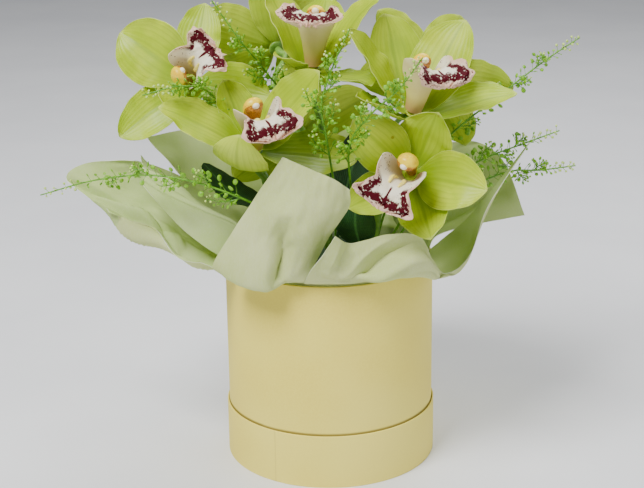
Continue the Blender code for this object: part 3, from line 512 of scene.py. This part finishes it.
# ---- paper --------------------------------------------------------------------------------
# A sheet: tuck layer, bearings of its tucked corners, rows of points from the rim to the free
# edge, crumple depth, and its fold lines.  A fold line: where it starts and ends on the sheet
# (share of its height, share of its width), how far it stands up, and how wide it reaches.
SHEETS = {
    "wrap_front": (1, (-54, -8), [
        [(-62, -53, 7), (-52, -62, 6), (-38, -70, 5), (-25, -77, 5), (-13, -80, 7)],
        [(-80, -60, 10), (-63, -76, 4), (-44, -85, 2), (-27, -84, 9), (-11, -81, 16)],
        [(-66, -68, 37), (-52, -80, 33), (-34, -88, 34), (-15, -88, 38), (0, -81, 38)],
        [(-49, -74, 64), (-37, -82, 63), (-20, -88, 61), (-2, -88, 59), (13, -80, 57)],
        [(-30, -80, 93), (-20, -82, 89), (-8, -84, 84), (4, -86, 79), (14, -84, 71)]],
        0.8, [((0.80, 0.28), (0.80, 0.50), 4.0, 0.09), ((0.80, 0.50), (0.64, 0.84), 4.5, 0.09),
              ((0.72, 0.46), (0.56, 0.64), -9.0, 0.09), ((0.60, 0.60), (0.46, 0.70), -7.0, 0.08)]),
    "wrap_front_right": (0, (-13, 88), [
        [(-17, -79, 5), (-3, -80, 5), (13, -79, 4), (29, -75, 5), (42, -68, 5), (55, -59, 5), (65, -47, 4),
         (73, -33, 4), (78, -18, 6), (80, -2, 8)],
        [(-13, -87, 16), (1, -85, 13), (13, -86, 8), (30, -87, 11), (48, -84, 10), (62, -76, 7), (74, -64, 1),
         (86, -48, 2), (97, -30, 13), (100, -8, 28)],
        [(-5, -92, 28), (5, -86, 24), (15, -84, 21), (32, -83, 26), (54, -82, 25), (68, -76, 13),
         (79, -64, 0), (93, -48, 4), (106, -30, 26), (116, -12, 50)],
        [(4, -92, 42), (13, -83, 34), (24, -80, 35), (40, -77, 38), (61, -76, 36), (70, -70, 17),
         (81, -61, 4), (98, -46, 13), (112, -28, 43), (144, -13, 87)]],
        0.8, [((0.52, 0.22), (0.94, 0.44), -10.0, 0.08), ((0.56, 0.34), (0.88, 0.54), 5.0, 0.08),
              ((0.60, 0.70), (0.95, 0.66), -5.0, 0.07), ((0.98, 0.05), (0.60, 0.10), 4.0, 0.06)]),
    "wrap_right": (1, (78, 132), [
        [(79, 14, 7), (75, 29, 8), (64, 43, 11), (49, 56, 13)],
        [(104, 16, 14), (96, 32, 22), (80, 50, 31), (60, 64, 34)],
        [(124, 16, 18), (114, 36, 40), (96, 54, 54), (70, 68, 56)],
        [(143, 14, 22), (130, 34, 56), (112, 58, 66), (84, 78, 60)]],
        0.6, [((0.9, 0.2), (0.3, 0.4), 6.0, 0.1)]),
    "wrap_back": (0, (118, 236), [
        [(69, 37, 5), (48, 63, 5), (14, 79, 5), (-26, 75, 5), (-55, 58, 5), (-69, 40, 5)],
        [(86, 50, 18), (60, 78, 14), (16, 98, 22), (-34, 92, 12), (-70, 74, 18), (-87, 48, 19)],
        [(102, 60, 38), (72, 96, 30), (20, 112, 46), (-40, 108, 28), (-84, 88, 42), (-108, 48, 44)],
        [(112, 66, 64), (84, 108, 50), (24, 124, 76), (-46, 122, 48), (-98, 100, 68), (-131, 33, 80)]],
        1.2, [((0.9, 0.3), (0.3, 0.4), 4.5, 0.08), ((0.9, 0.7), (0.3, 0.6), -4.5, 0.08)]),
    "wrap_back_left": (1, (228, 300), [
        [(-66, 38, 8), (-75, 24, 8), (-79, 8, 8), (-80, -8, 8), (-77, -24, 8), (-70, -38, 8)],
        [(-84, 38, 26), (-95, 22, 20), (-98, 6, 16), (-98, -12, 15), (-93, -30, 14), (-79, -50, 11)],
        [(-108, 32, 50), (-118, 18, 40), (-121, 4, 32), (-119, -14, 28), (-112, -32, 26), (-103, -52, 14)],
        [(-130, 24, 62), (-144, 14, 54), (-148, 2, 44), (-143, -12, 36), (-134, -24, 31), (-120, -34, 30)],
        [(-140, 16, 67), (-172, 10, 67), (-186, -1, 60), (-172, -8, 48), (-155, -15, 38), (-138, -22, 31)]],
        1.4, [((0.97, 0.72), (0.70, 0.92), 13.5, 0.08), ((0.74, 0.58), (0.60, 0.92), 12.0, 0.07),
              ((0.88, 0.55), (0.62, 0.78), -12.0, 0.07), ((0.58, 0.80), (0.50, 1.0), 10.5, 0.07),
              ((0.95, 0.45), (0.75, 0.62), 7.5, 0.06), ((0.5, 0.5), (0.3, 0.95), -7.5, 0.08)]),
    "wrap_left": (2, (256, 311), [
        [(-75, 4, 13), (-73, -14, 13), (-69, -27, 14), (-63, -36, 17), (-60, -46, 13)],
        [(-92, 2, 32), (-84, -14, 28), (-76, -26, 29), (-58, -42, 34), (-76, -53, 17)],
        [(-112, 4, 50), (-100, -14, 40), (-88, -25, 40), (-88, -36, 47), (-98, -48, 32)],
        [(-126, 8, 64), (-116, -6, 56), (-109, -18, 54), (-112, -29, 56), (-116, -37, 48)],
        [(-134, 10, 72), (-131, -4, 67), (-129, -13, 64), (-129, -20, 63), (-130, -25, 61)]],
        0.7, [((0.9, 0.35), (0.35, 0.45), -7.5, 0.14), ((0.95, 0.75), (0.3, 0.75), 4.5, 0.10)]),
}
PAPER_T = 0.4
CREPE = {"wrap_front": 3, "wrap_front_right": 4, "wrap_right": 5, "wrap_back": 6, "wrap_back_left": 7,
         "wrap_left": 8}


def fold_height(u, v, folds):
    """Sum of tent ridges: each stands up by its height along a line and falls straight to 0 at its reach."""
    total = np.zeros_like(u)
    for (u0, v0), (u1, v1), height, reach in folds:
        du, dv = u1 - u0, v1 - v0
        t = ((u - u0) * du + (v - v0) * dv) / (du * du + dv * dv)
        near = np.hypot(u - (u0 + t.clip(0, 1) * du), v - (v0 + t.clip(0, 1) * dv))
        total += height * (1 - near / reach).clip(0) * (1 - 0.5 * (np.abs(t.clip(0, 1) - 0.5) * 2) ** 2)
    return total


def paper_grid(layer, corners, rows, steps):
    """Two tucked rows on the box's bore, then the sheet's rows over the rim, smoothed both ways."""
    low, high = (np.array(c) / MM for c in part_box("box_tube"))
    rim, bore = high[2], (high[0] - low[0]) / 2 - 2.0
    across = np.stack([smooth(row, steps) for row in rows]) + (0, 0, rim)
    count = across.shape[1]
    b = np.radians(np.linspace(corners[0], corners[1], count))
    r = bore - 0.7 - 0.9 * layer
    ring = np.stack([r * np.sin(b), -r * np.cos(b), np.zeros(count)], 1)
    tucked = [ring + (0, 0, rim - 30), ring + (0, 0, rim - 1),
              ring * (1 + (0.9 - 0.3 * layer) / r) + (0, 0, rim + 2)]
    over = smooth(np.concatenate([tucked[1:], across]), steps)
    return np.concatenate([tucked[:1], over])


def build_paper():
    """Six sheets of wrapping paper: smooth flares with tent folds and a crumple that grows to the edge."""
    for name, (layer, corners, rows, crumple, folds) in SHEETS.items():
        grid = paper_grid(layer, corners, rows, 16)
        u = np.linspace(0, 1, grid.shape[0])[:, None] * np.ones((1, grid.shape[1]))
        v = np.linspace(0, 1, grid.shape[1])[None, :] * np.ones((grid.shape[0], 1))
        free = step(u, 0.28, 0.6)
        seed = CREPE[name]
        lift = crumple * free * ripple(u + 0.6 * v, seed, (3, 5, 7)) * ripple(v - 0.3 * u, seed + 20, (4, 7))
        lift = lift + step(u, 0.2, 0.35) * fold_height(u, v, folds)
        grid = grid + grid_normals(grid) * lift[:, :, None]
        obj = add_piece(name + "_paper", thin_solid(grid, PAPER_T), [PAPER_OUT, PAPER_IN, PAPER_CUT], [name])


# ---- blooms -------------------------------------------------------------------------------
# A tepal: bearing about the bloom's axis (90 is the dorsal sepal), length, width, rise from the
# bloom's plane at its base and at its tip, cup across it.  A bloom: sepals, petals, lip size.
BLOOMS = {
    "bloom_1": ([(94, 60, 34, 28, -4, 0.5), (-44, 54, 33, 0, -12, 0.4), (222, 56, 39, 18, 8, 0.4)],
                [(19, 58, 51, 22, -8, 0.7), (140, 52, 39, 60, 72, 0.8)], 1.3),
    "bloom_2": ([(92, 52, 32, 26, 38, 0.8), (-27, 66, 41, 0, -8, 0.4), (224, 58, 42, -8, 130, 0.5)],
                [(2, 70, 41, 62, 46, 0.4), (152, 70, 39, 40, 24, 0.4)], 1.45),
    "bloom_3": ([(90, 64, 39, 50, 40, 0.5), (-38, 52, 37, 10, 0, 0.4), (232, 36, 27, 34, 30, 0.4)],
                [(24, 66, 41, 62, 50, 0.4), (158, 64, 41, 62, 58, 0.4)], 1.45),
    "bloom_4": ([(90, 74, 46, 50, 40, 0.5), (-20, 70, 41, 30, 18, 0.5), (186, 52, 27, 20, 38, 0.6)],
                [(30, 74, 44, 60, 48, 0.4), (146, 72, 41, 54, 42, 0.4)], 1.45),
    "bloom_5": ([(92, 45, 42, 22, 44, 0.5), (-42, 54, 36, 22, 44, 0.4), (240, 47, 32, 16, 24, 0.6)],
                [(13, 58, 42, 40, 18, 0.4), (166, 54, 38, 44, 24, 0.4)], 1.45),
}
OPEN_BLOOM = ([(90, 58, 38, 20, 15, 0.5), (-38, 57, 39, 12, 0, 0.4), (222, 58, 40, 12, 0, 0.4)],
              [(20, 60, 41, 28, 10, 0.4), (160, 60, 41, 28, 10, 0.4)], 1.45)
for back in ("bloom_6", "bloom_7", "bloom_8"):
    BLOOMS[back] = OPEN_BLOOM
HUB_R, BACK_LEVEL = 6.0, 6.0      # hub radius, and its back face below the bloom's centre
CLAW = 0.14                       # share of a tepal over which it leaves the bloom's plane


def bloom_frame(name):
    """Centre and axes (rows X, Y, Z) of a bloom, read from its CAD hub disc, column and lip."""
    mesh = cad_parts[name + "_sepals"].data
    normals = np.array([p.normal for p in mesh.polygons])
    middles = np.array([p.center for p in mesh.polygons]) / MM
    areas = np.array([p.area for p in mesh.polygons]) / MM ** 2
    level = middles @ normals.T
    coplanar = (normals @ normals.T > 0.9999) & (np.abs(level - np.diag(level)) < 0.1)
    disc = 6 * HUB_R ** 2 * math.sin(math.pi / 6)
    whole = (coplanar.sum(0) > 5) & (np.abs(areas @ coplanar - disc) < 0.06 * disc)
    lip, column = (np.mean([np.array(v.co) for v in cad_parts[name + k].data.vertices], 0) / MM
                   for k in ("_lip", "_column"))
    z = unit(normals[np.flatnonzero(whole)[0]])
    z = z if np.dot(z, column - middles[whole].mean(0)) > 0 else -z
    lowest = np.flatnonzero(whole)[np.argmin(middles[whole] @ z)]
    member = coplanar[:, lowest]
    back = (middles[member] * areas[member, None]).sum(0) / areas[member].sum()
    y = column - lip
    y = unit(y - z * np.dot(y, z))
    return back + BACK_LEVEL * z, np.stack([np.cross(y, z), y, z])


def tepal_surface(shape, level, start, seed, rows=34, cols=19):
    """A tepal: a spine that leaves the plane over its claw, an arc across it, a waved margin, a midrib groove."""
    bearing, length, width, rise, tip_rise, cup = shape
    s = np.linspace(0, 1, rows)
    across = np.sin(np.linspace(-0.5, 0.5, cols) * np.pi * 0.9) / math.sin(0.45 * np.pi)
    fine = np.linspace(0, 1, 401)
    lean = np.radians((rise + (tip_rise - rise) * fine) * np.minimum(fine / CLAW, 1))
    out = length * np.concatenate([[0], np.cumsum((np.cos(lean[1:]) + np.cos(lean[:-1])) / 800)])
    up = length * np.concatenate([[0], np.cumsum((np.sin(lean[1:]) + np.sin(lean[:-1])) / 800)])
    out, up, lean = (np.interp(s, fine, k) for k in (out, up, lean))
    inner = 1 - 0.84 * (1 - np.minimum(s, 0.5) / 0.5) ** 2
    outer = (1 - (np.maximum(s - 0.5, 0) / 0.5) ** 2.2).clip(0) ** 0.7
    half = width / 2 * np.maximum(inner * outer, 0.035)
    arc = cup * across[None, :]
    side = half[:, None] * np.sin(arc) / cup
    lift = half[:, None] * (1 - np.cos(arc)) / cup
    u, v = s[:, None], across[None, :]
    wave = ripple(u * 1.4 + 0.2 * np.sign(v), seed, (1.5, 2.6, 4.1)) * np.abs(v) ** 2.4 * step(u, 0.1, 0.4) * 1.5
    groove = -0.7 * np.exp(-(v / 0.10) ** 2) * (1 - 0.7 * u) * step(u, 0.02, 0.15)
    bow = 1.1 * ripple(u, seed + 5, (0.8, 1.7)) * step(u, 0.2, 0.8)
    lift = lift + wave + groove + bow
    radial = start + out[:, None] - np.sin(lean)[:, None] * lift
    height = level + up[:, None] + np.cos(lean)[:, None] * lift
    b = math.radians(bearing)
    grid = np.stack([radial * math.cos(b) - side * math.sin(b),
                     radial * math.sin(b) + side * math.cos(b), height], -1)
    thick = 1.0 * (1 - 0.55 * np.abs(v) ** 3) * (1 - 0.4 * u ** 3)
    return thin_solid(grid[:, ::-1], thick)


LIP_SPINE = [(-3.9, 0.9), (-5.5, 8), (-6.5, 16), (-8, 23), (-12, 27.5), (-18, 28), (-23, 25)]
LIP_SPREAD = ((0, 0.12, 0.25, 0.40, 0.52, 0.61, 0.68, 0.76, 0.86, 0.94, 1),
              (7.5, 8.6, 10.5, 14.2, 16.0, 13.0, 9.6, 13.4, 15.6, 12.2, 4.5))
LIP_CURL = ((0, 0.25, 0.5, 0.66, 0.8, 0.9, 1), (1.9, 1.8, 1.5, 1.0, 0.5, 0.3, -0.3))


def lip_grid(size, seed, rows=52, cols=41):
    """The lip: a trough whose side lobes stand up, a waist, then a recurved front lobe with a frilled margin."""
    spine = smooth(LIP_SPINE, 40)
    fine = np.linspace(0, 1, len(spine))
    s = np.linspace(0, 1, rows)
    v = np.linspace(-1, 1, cols)[None, :]
    y, z = (np.interp(s, fine, spine[:, k]) for k in (0, 1))
    slope = np.gradient(spine, axis=0)
    ty, tz = (np.interp(s, fine, slope[:, k]) for k in (0, 1))
    long = np.hypot(ty, tz)
    spread = np.interp(s, *LIP_SPREAD)[:, None]
    curl = np.interp(s, *LIP_CURL)[:, None]
    curl = np.where(np.abs(curl) < 0.05, 0.05, curl)
    side = spread * np.sin(curl * v) / curl
    lift = spread * (1 - np.cos(curl * v)) / curl
    u = s[:, None]
    frill = step(u, 0.58, 0.78) * (0.25 + 0.75 * np.maximum(np.abs(v) ** 3, step(u, 0.85, 1.0)))
    lift = lift + 1.9 * frill * ripple(1.1 * v * np.sign(v) + 2.2 * u + 0.37 * np.sign(v), seed, (1.5, 2.7, 4.3))
    side = side * (1 + 0.06 * step(u, 0.6, 0.8) * ripple(u, seed + 9, (5, 9)))
    return size * np.stack([side, y[:, None] + lift * (tz / long)[:, None],
                            z[:, None] - lift * (ty / long)[:, None]], -1)


def lip_surface(size, seed):
    """The lip as a thin solid, thinner to its margin, with two yellow ridges on its floor."""
    grid = lip_grid(size, seed)
    v = np.linspace(-1, 1, grid.shape[1])[None, :]
    sheet = thin_solid(grid[:, ::-1], 0.85 - 0.4 * np.abs(v) ** 2)
    floor = -grid_normals(grid)
    rows, mid = grid.shape[0], grid.shape[1] // 2
    ridges = []
    for way in (-1, 1):
        picked = np.arange(int(0.34 * rows), int(0.64 * rows))
        shift = np.linspace(3, 4.4, len(picked)).round().astype(int) * way
        path = grid[picked, mid + shift] + floor[picked, mid + shift] * 0.9
        swell = np.sin(np.linspace(0.12, 0.96, len(picked)) * np.pi) ** 0.5 * (0.7 + 0.9 * np.linspace(0, 1, len(picked)))
        ridges.append(tube(path, 0.85 * size * swell, 10, (0.8, 1.1)))
    return sheet, ridges


COLUMN_SPINE = [(1.0, 0.8), (2.2, 8), (3.0, 15), (2.6, 22), (0.8, 26.6), (-0.6, 28.2)]
COLUMN_R = (2.7, 2.9, 3.8, 4.7, 4.2, 1.6)


def column_surface(size):
    """The column: an arched, hooded rod, flat on the side that faces the lip, and the anther cap on its tip."""
    spine = smooth(COLUMN_SPINE, 8)
    path = size * np.stack([np.zeros(len(spine)), spine[:, 0], spine[:, 1]], -1)
    radii = size * smooth(np.array(COLUMN_R)[:, None], 8)[:, 0]
    rod = tube(path, radii, 28, (1.0, 0.82), (0, 1, 0))
    a = np.linspace(0.06, np.pi - 0.06, 14)
    centre = size * np.array([0, -0.9, 27.0])
    axis = unit(np.array([0, -0.55, 0.83]))
    line = centre - np.cos(a)[:, None] * axis * 2.0 * size
    cap = tube(line, 1.75 * size * np.sin(a), 18, (1.0, 0.8), (0, 1, 0))
    return rod, cap


def moved(surface, axes, centre):
    """A surface in a bloom's own axes, put in the bloom's place."""
    verts, faces, uv, side = surface
    return verts @ axes + centre, faces, uv, side


def hub_surface(level, radius, high):
    """The receptacle the tepals grow from: a rounded disc, as a short fat tube along the bloom's axis."""
    a = np.linspace(0.1, np.pi - 0.1, 10)
    line = np.stack([0 * a, 0 * a, level - np.cos(a) * high], -1)
    return tube(line, radius * np.sin(a) ** 0.6, 24, (1, 1), (0, 1, 0))


def build_blooms():
    """Eight blooms, each with its sepals, petals, lip and column in the places of its CAD nodes."""
    for k, (name, (sepals, petals, size)) in enumerate(BLOOMS.items()):
        centre, axes = bloom_frame(name)
        for part, shapes, level, hub, mats, slot in (
                ("sepals", sepals, -4.65, 6.0, [SEPAL, SEPAL_BACK, SEPAL, STEM], "sepal"),
                ("petals", petals, -1.65, 5.0, [PETAL, PETAL_BACK, PETAL, PETAL_BACK], "petal")):
            blades = [tepal_surface(t, level, hub - 1.6, 17 * k + 5 * i + len(part) + (part == "petals"))
                      for i, t in enumerate(shapes)]
            v, f, uv, side = hub_surface(level, hub, 1.35)
            whole = joined(blades + [(v, f, uv, np.full(len(side), 3))])
            add_piece(f"{name}_{part}_fine", moved(whole, axes, centre), mats, [f"{name}_{part}"])
        sheet, ridges = lip_surface(size, 40 + k)
        v, f, uv, side = joined(ridges)
        lip = joined([sheet, (v, f, uv, np.full(len(side), 3))])
        add_piece(name + "_lip_fine", moved(lip, axes, centre), [LIP_IN, LIP_OUT, LIP_IN, CALLUS],
                  [name + "_lip"])
        rod = joined(column_surface(size), (0, 1))
        add_piece(name + "_column_fine", moved(rod, axes, centre), [COLUMN, ANTHER], [name + "_column"])


# ---- stems, sprigs and leaves -------------------------------------------------------------
SPRIGS = {
    "sprig_1": ((-26, -30), [(-32, -38, 35), (-53, -58, 56), (-87, -62, 71), (-121, -58, 76),
                             (-160, -44, 69), (-200, -30, 55)]),
    "sprig_2": ((34, 14), [(48, 14, 40), (88, 20, 81), (125, 30, 108), (157, 30, 133), (181, 30, 149)]),
    "sprig_3": ((40, 2), [(60, -4, 36), (90, -18, 62), (110, -18, 74), (136, -12, 82), (163, -6, 90)]),
    "sprig_4": ((42, -12), [(58, -12, 26), (90, -6, 44), (127, 5, 57), (153, 10, 57), (178, 10, 60)]),
    "sprig_5": ((-14, 6), [(-16, 4, 50), (-30, 2, 112), (-42, -8, 135), (-59, -20, 160), (-77, -20, 187)]),
    "sprig_6": ((3, -26), [(5, -43, 50), (-1, -65, 102), (-4, -71, 126), (4, -72, 152), (15, -67, 175)]),
    "sprig_7": ((-36, 6), [(-48, 0, 60), (-60, -4, 87), (-79, -27, 124), (-97, -50, 135), (-123, -54, 130)]),
    "sprig_8": ((14, -20), [(16, -42, 50), (14, -70, 96), (26, -84, 120), (46, -90, 140), (61, -90, 160)]),
}
LEAVES = {
    "leaf_1": ((-44, -14), [(-48, -22, 18), (-50, -31, 36), (-50, -38, 54)], 20, (0.5, 0.86, 0)),
    "leaf_2": ((24, -34), [(21, -44, 22), (18, -50, 40), (20, -52, 64)], 28, (1, 0.1, 0)),
    "leaf_3": ((4, -8), [(12, -6, 46), (18, -2, 70), (24, 2, 94)], 30, (1, 0.2, 0)),
    "leaf_4": ((-24, 30), [(-44, 38, 22), (-72, 44, 36), (-92, 46, 56)], 32, (0.6, 0.8, 0)),
    "leaf_5": ((28, 36), [(44, 52, 26), (58, 66, 44), (62, 74, 68)], 32, (0.8, -0.6, 0)),
}


def stem_path(foot, points, steps):
    """A path straight up out of the foam, then smooth through the points above the rim."""
    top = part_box("foam_block")[1].z / MM
    curve = smooth(np.concatenate([[(*foot, top + 3), (*foot, top + 9)], np.array(points) + RIM]), steps)
    return np.vstack([[(*foot, top - 38)], curve])


def raceme(path, first, last, count, reach, pod, rng):
    """Pods in a spiral round a stem: golden-angle turns, shorter stalks and smaller pods to the tip."""
    t = np.linspace(first, last, count) + rng.uniform(-0.4, 0.4, count) * (last - first) / count
    at = t.clip(0, 1) * (len(path) - 1)
    i = np.minimum(at.astype(int), len(path) - 2)
    start = path[i] + (path[i + 1] - path[i]) * (at - i)[:, None]
    along = unit(path[i + 1] - path[i])
    ref = unit(np.cross(along, (0.2, 0.9, 0.3)))
    other = np.cross(along, ref)
    turn = np.arange(count) * math.radians(137.5) + rng.uniform(0, 6)
    out = np.cos(turn)[:, None] * ref + np.sin(turn)[:, None] * other
    taper = 1 - 0.6 * (t - first) / (last - first)
    grow = unit(out + 0.55 * along + rng.normal(0, 0.15, (count, 3)))
    length = reach * taper * rng.uniform(0.75, 1.2, count)
    end = start + grow * length[:, None]
    end[:, 2] += length * 0.12
    return start, end, grow, pod * taper * rng.uniform(0.8, 1.15, count)


def copies(template, centres, x, y, z):
    """A closed template surface put at every centre, its axes along x, y and z (which carry the sizes)."""
    verts, faces, uv, side = template
    n, m = len(centres), len(verts)
    frames = np.stack([x, y, z], 1)
    placed = (verts[None] @ frames + centres[:, None]).reshape(-1, 3)
    shift = (np.arange(n) * m)[:, None, None]
    return (placed, [(f[None] + shift).reshape(-1, f.shape[1]) for f in faces],
            np.tile(uv, (n, 1)), np.tile(side, n))


def ball(rows, sides):
    """A closed unit ball as a tube along x with sine radii."""
    a = np.linspace(0.18, np.pi - 0.18, rows)
    return tube(np.stack([-np.cos(a), 0 * a, 0 * a], -1), np.sin(a), sides, (1, 1), (0, 0, 1))


POD_SHAPE = ball(6, 8)
STALK_SHAPE = tube([(0, 0, 0), (0.5, 0, 0.06), (1, 0, 0)], (1.0, 0.8, 0.8), 4, (1, 1), (0, 0, 1))


def stalks(start, end, radius):
    """Thin stalks from start to end, with a slight sag."""
    x = end - start
    y = unit(np.cross(x, (0.1, 0.2, 1.0)))
    z = unit(np.cross(x, y))
    verts, faces, uv, side = STALK_SHAPE
    local = verts * (1, radius, radius)
    return copies((local, faces, uv, side), start, x, y, z)


def sprig_surface(name, foot, points, seed):
    """A sprig: stem, side racemes, stalks, flat pods, and pale buds at every tip."""
    rng = np.random.default_rng(seed)
    path = stem_path(foot, points, 10)
    n = len(path)
    parts, marks = [tube(path, np.linspace(1.0, 0.45, n), 8)], [0]
    lines = [(path, 0.46, 0.985, 64, 6.5, 2.3)]
    for k in range(5):
        at = int((0.46 + 0.085 * k) * n)
        along = unit(path[at + 1] - path[at])
        out = unit(np.cross(along, (0.0, 1.0, 0.25)) * (-1) ** k + rng.normal(0, 0.25, 3))
        span = rng.uniform(15, 24) * (1 - 0.1 * k)
        way = unit(out + 1.1 * along)
        arm = smooth([path[at], path[at] + way * span * 0.5, path[at] + unit(way + 0.5 * along) * span], 5)
        parts.append(tube(arm, np.linspace(0.5, 0.3, len(arm)), 6))
        marks.append(0)
        lines.append((arm, 0.15, 0.98, 18, 4.6, 1.9))
    for line, first, last, count, reach, pod in lines:
        start, end, grow, r = raceme(line, first, last, count, reach, pod, rng)
        parts.append(stalks(start, end, 0.22))
        marks.append(0)
        ripe = int(count * 0.82)
        flat = unit(np.cross(grow, rng.normal(0, 1, (count, 3))))
        wide = np.cross(grow, flat)
        centre = end + grow * r[:, None] * 0.9
        r3 = r[:, None]
        parts.append(copies(POD_SHAPE, centre[:ripe], grow[:ripe] * r3[:ripe], wide[:ripe] * r3[:ripe] * 0.9,
                            flat[:ripe] * r3[:ripe] * 0.32))
        marks.append(1)
        small = r3[ripe:] * 0.9
        parts.append(copies(POD_SHAPE, centre[ripe:], grow[ripe:] * small, wide[ripe:] * small, flat[ripe:] * small))
        marks.append(2)
    return joined(parts, marks)


SPIKES = {
    "spike_right": ((32, -5), [(35, -6, 28), (42, -8, 50), (44, -9, 56)],
                    [("bloom_4", [(42, -8, 49), (47, -14, 78)]),
                     ("bloom_5", [(42, -8, 49), (52, -12, 56)])]),
    "spike_left": ((-30, -5), [(-34, -7, 30), (-40, -6, 50), (-43, -2, 58)],
                   [("bloom_2", [(-38, -6.5, 45), (-45, -20, 62)]),
                    ("bloom_1", [(-41, -4, 53), (-60, 26, 82), (-78, 34, 104)])]),
    "spike_back": ((0, 25), [(0, 26, 30), (0, 26, 64)],
                   [("bloom_3", [(0, 26, 58), (-4, 5, 90)]),
                    ("bloom_6", [(0, 26, 54), (-20, 22, 90), (-38, 22, 118)]),
                    ("bloom_7", [(0, 26, 40), (-10, 30, 56)]),
                    ("bloom_8", [(0, 26, 56), (30, 20, 76), (50, 18, 92)])]),
}


def build_stems():
    """Flower stems with their pedicels, the seed-pod sprigs, and the dark leaves."""
    for name, (foot, points, pedicels) in SPIKES.items():
        path = stem_path(foot, points, 10)
        taper = np.interp(np.linspace(0, 1, len(path)), (0, 0.92, 1), (2.95, 2.9, 1.2))
        parts = [tube(path, taper, 18)]
        for bloom, route in pedicels:
            centre, axes = bloom_frame(bloom)
            back = centre - axes[2] * (BACK_LEVEL + 0.5)
            neck = [back - axes[2] * k for k in (13, 5, 0)]
            line = smooth(np.concatenate([np.array(route) + RIM, neck]), 8)
            s = np.linspace(0, 1, len(line))
            parts.append(tube(line, np.interp(s, (0, 0.6, 0.85, 1), (1.9, 1.9, 2.9, 2.4)), 14))
        add_piece(name + "_fine", joined(parts), [STEM], [name])
    for k, (name, (foot, points)) in enumerate(SPRIGS.items()):
        add_piece(name + "_fine", sprig_surface(name, foot, points, 70 + k), [TWIG, POD, BUD], [name])
    for k, (name, (foot, points, width, spread)) in enumerate(LEAVES.items()):
        path = stem_path(foot, points, 14)
        s = np.linspace(0, 1, len(path))
        blade = np.sin(np.pi * ((s - 0.4) / 0.62).clip(0, 1)) ** 0.8
        half = np.maximum(1.05, width / 2 * blade)
        half[-1] = 0.5
        v = np.linspace(-1, 1, 13)
        grid = path[:, None] + (half[:, None] * v)[:, :, None] * unit(spread)
        dip = half[:, None] * (0.12 * (1 - np.abs(v)) - 0.06 * np.abs(v) * ripple(s * 2, k, (2, 5))[:, None])
        grid[:, :, 2] -= dip * (s > 0.4)[:, None]
        add_piece(name + "_fine", thin_solid(grid, 0.7), [LEAF, LEAF, LEAF], [name])


# ---- setting ------------------------------------------------------------------------------
def plain_material(name, base, other):
    """Painted board for the setting: a very faint mottle."""
    mat, t, shader, place = new_material(name)
    t.links.new(mix(t, ramp(t, noise(t, place, 6, 3), 0.3, 0.7), colour(base), colour(other)),
                shader.inputs["Base Color"])
    shader.inputs["Roughness"].default_value = 0.6
    return mat


def build_setting():
    """A wide pale table, large soft lamps, and the camera."""
    mesh = bpy.data.meshes.new("table")
    mesh.from_pydata([(-6, -6, 0), (6, -6, 0), (6, 6, 0), (-6, 6, 0)], [], [(0, 1, 2, 3)])
    mesh.materials.append(plain_material("table_board", "#E9EAEC", "#E3E4E7"))
    table = bpy.data.objects.new("table", mesh)
    bpy.context.scene.collection.objects.link(table)
    for name, place, size, watts in (("key", (-0.7, -0.9, 1.7), 0.8, 58.0), ("fill", (1.4, -0.9, 1.0), 1.2, 9.0),
                                     ("back", (0.4, 0.8, 1.5), 0.9, 18.0)):
        lamp = bpy.data.lights.new(name, "AREA")
        lamp.size, lamp.energy = size, watts
        obj = bpy.data.objects.new(name, lamp)
        aim = unit(np.array([0, 0, 0.2]) - np.array(place))
        side = unit(np.cross(aim, (0, 0, 1)))
        obj.matrix_world = Matrix(np.vstack([np.column_stack([side, np.cross(side, aim), -aim, place]),
                                             [0, 0, 0, 1]]).tolist())
        bpy.context.scene.collection.objects.link(obj)
    world = bpy.data.worlds.new("studio")
    bpy.context.scene.world = world
    world.use_nodes = True
    world.node_tree.nodes["Background"].inputs[0].default_value = colour("#EEF1F6")
    world.node_tree.nodes["Background"].inputs[1].default_value = 0.25
    camera = bpy.data.cameras.new("camera")
    camera.lens, camera.sensor_width = 86.88, 36.0
    obj = bpy.data.objects.new("camera", camera)
    pitch, roll = math.radians(18.0743), -0.013727
    forward = np.array([0, math.cos(pitch), -math.sin(pitch)])
    up = np.array([0, math.sin(pitch), math.cos(pitch)])
    right = np.array([1.0, 0, 0])
    x_axis = math.cos(roll) * right + math.sin(roll) * up
    y_axis = math.cos(roll) * up - math.sin(roll) * right
    obj.matrix_world = Matrix(np.vstack([np.column_stack(
        [x_axis, y_axis, -forward, (-0.00487, -1.06792, 0.50516)]), [0, 0, 0, 1]]).tolist())
    bpy.context.scene.collection.objects.link(obj)
    bpy.context.scene.camera = obj


build_box()
build_paper()
build_blooms()
build_stems()
build_setting()
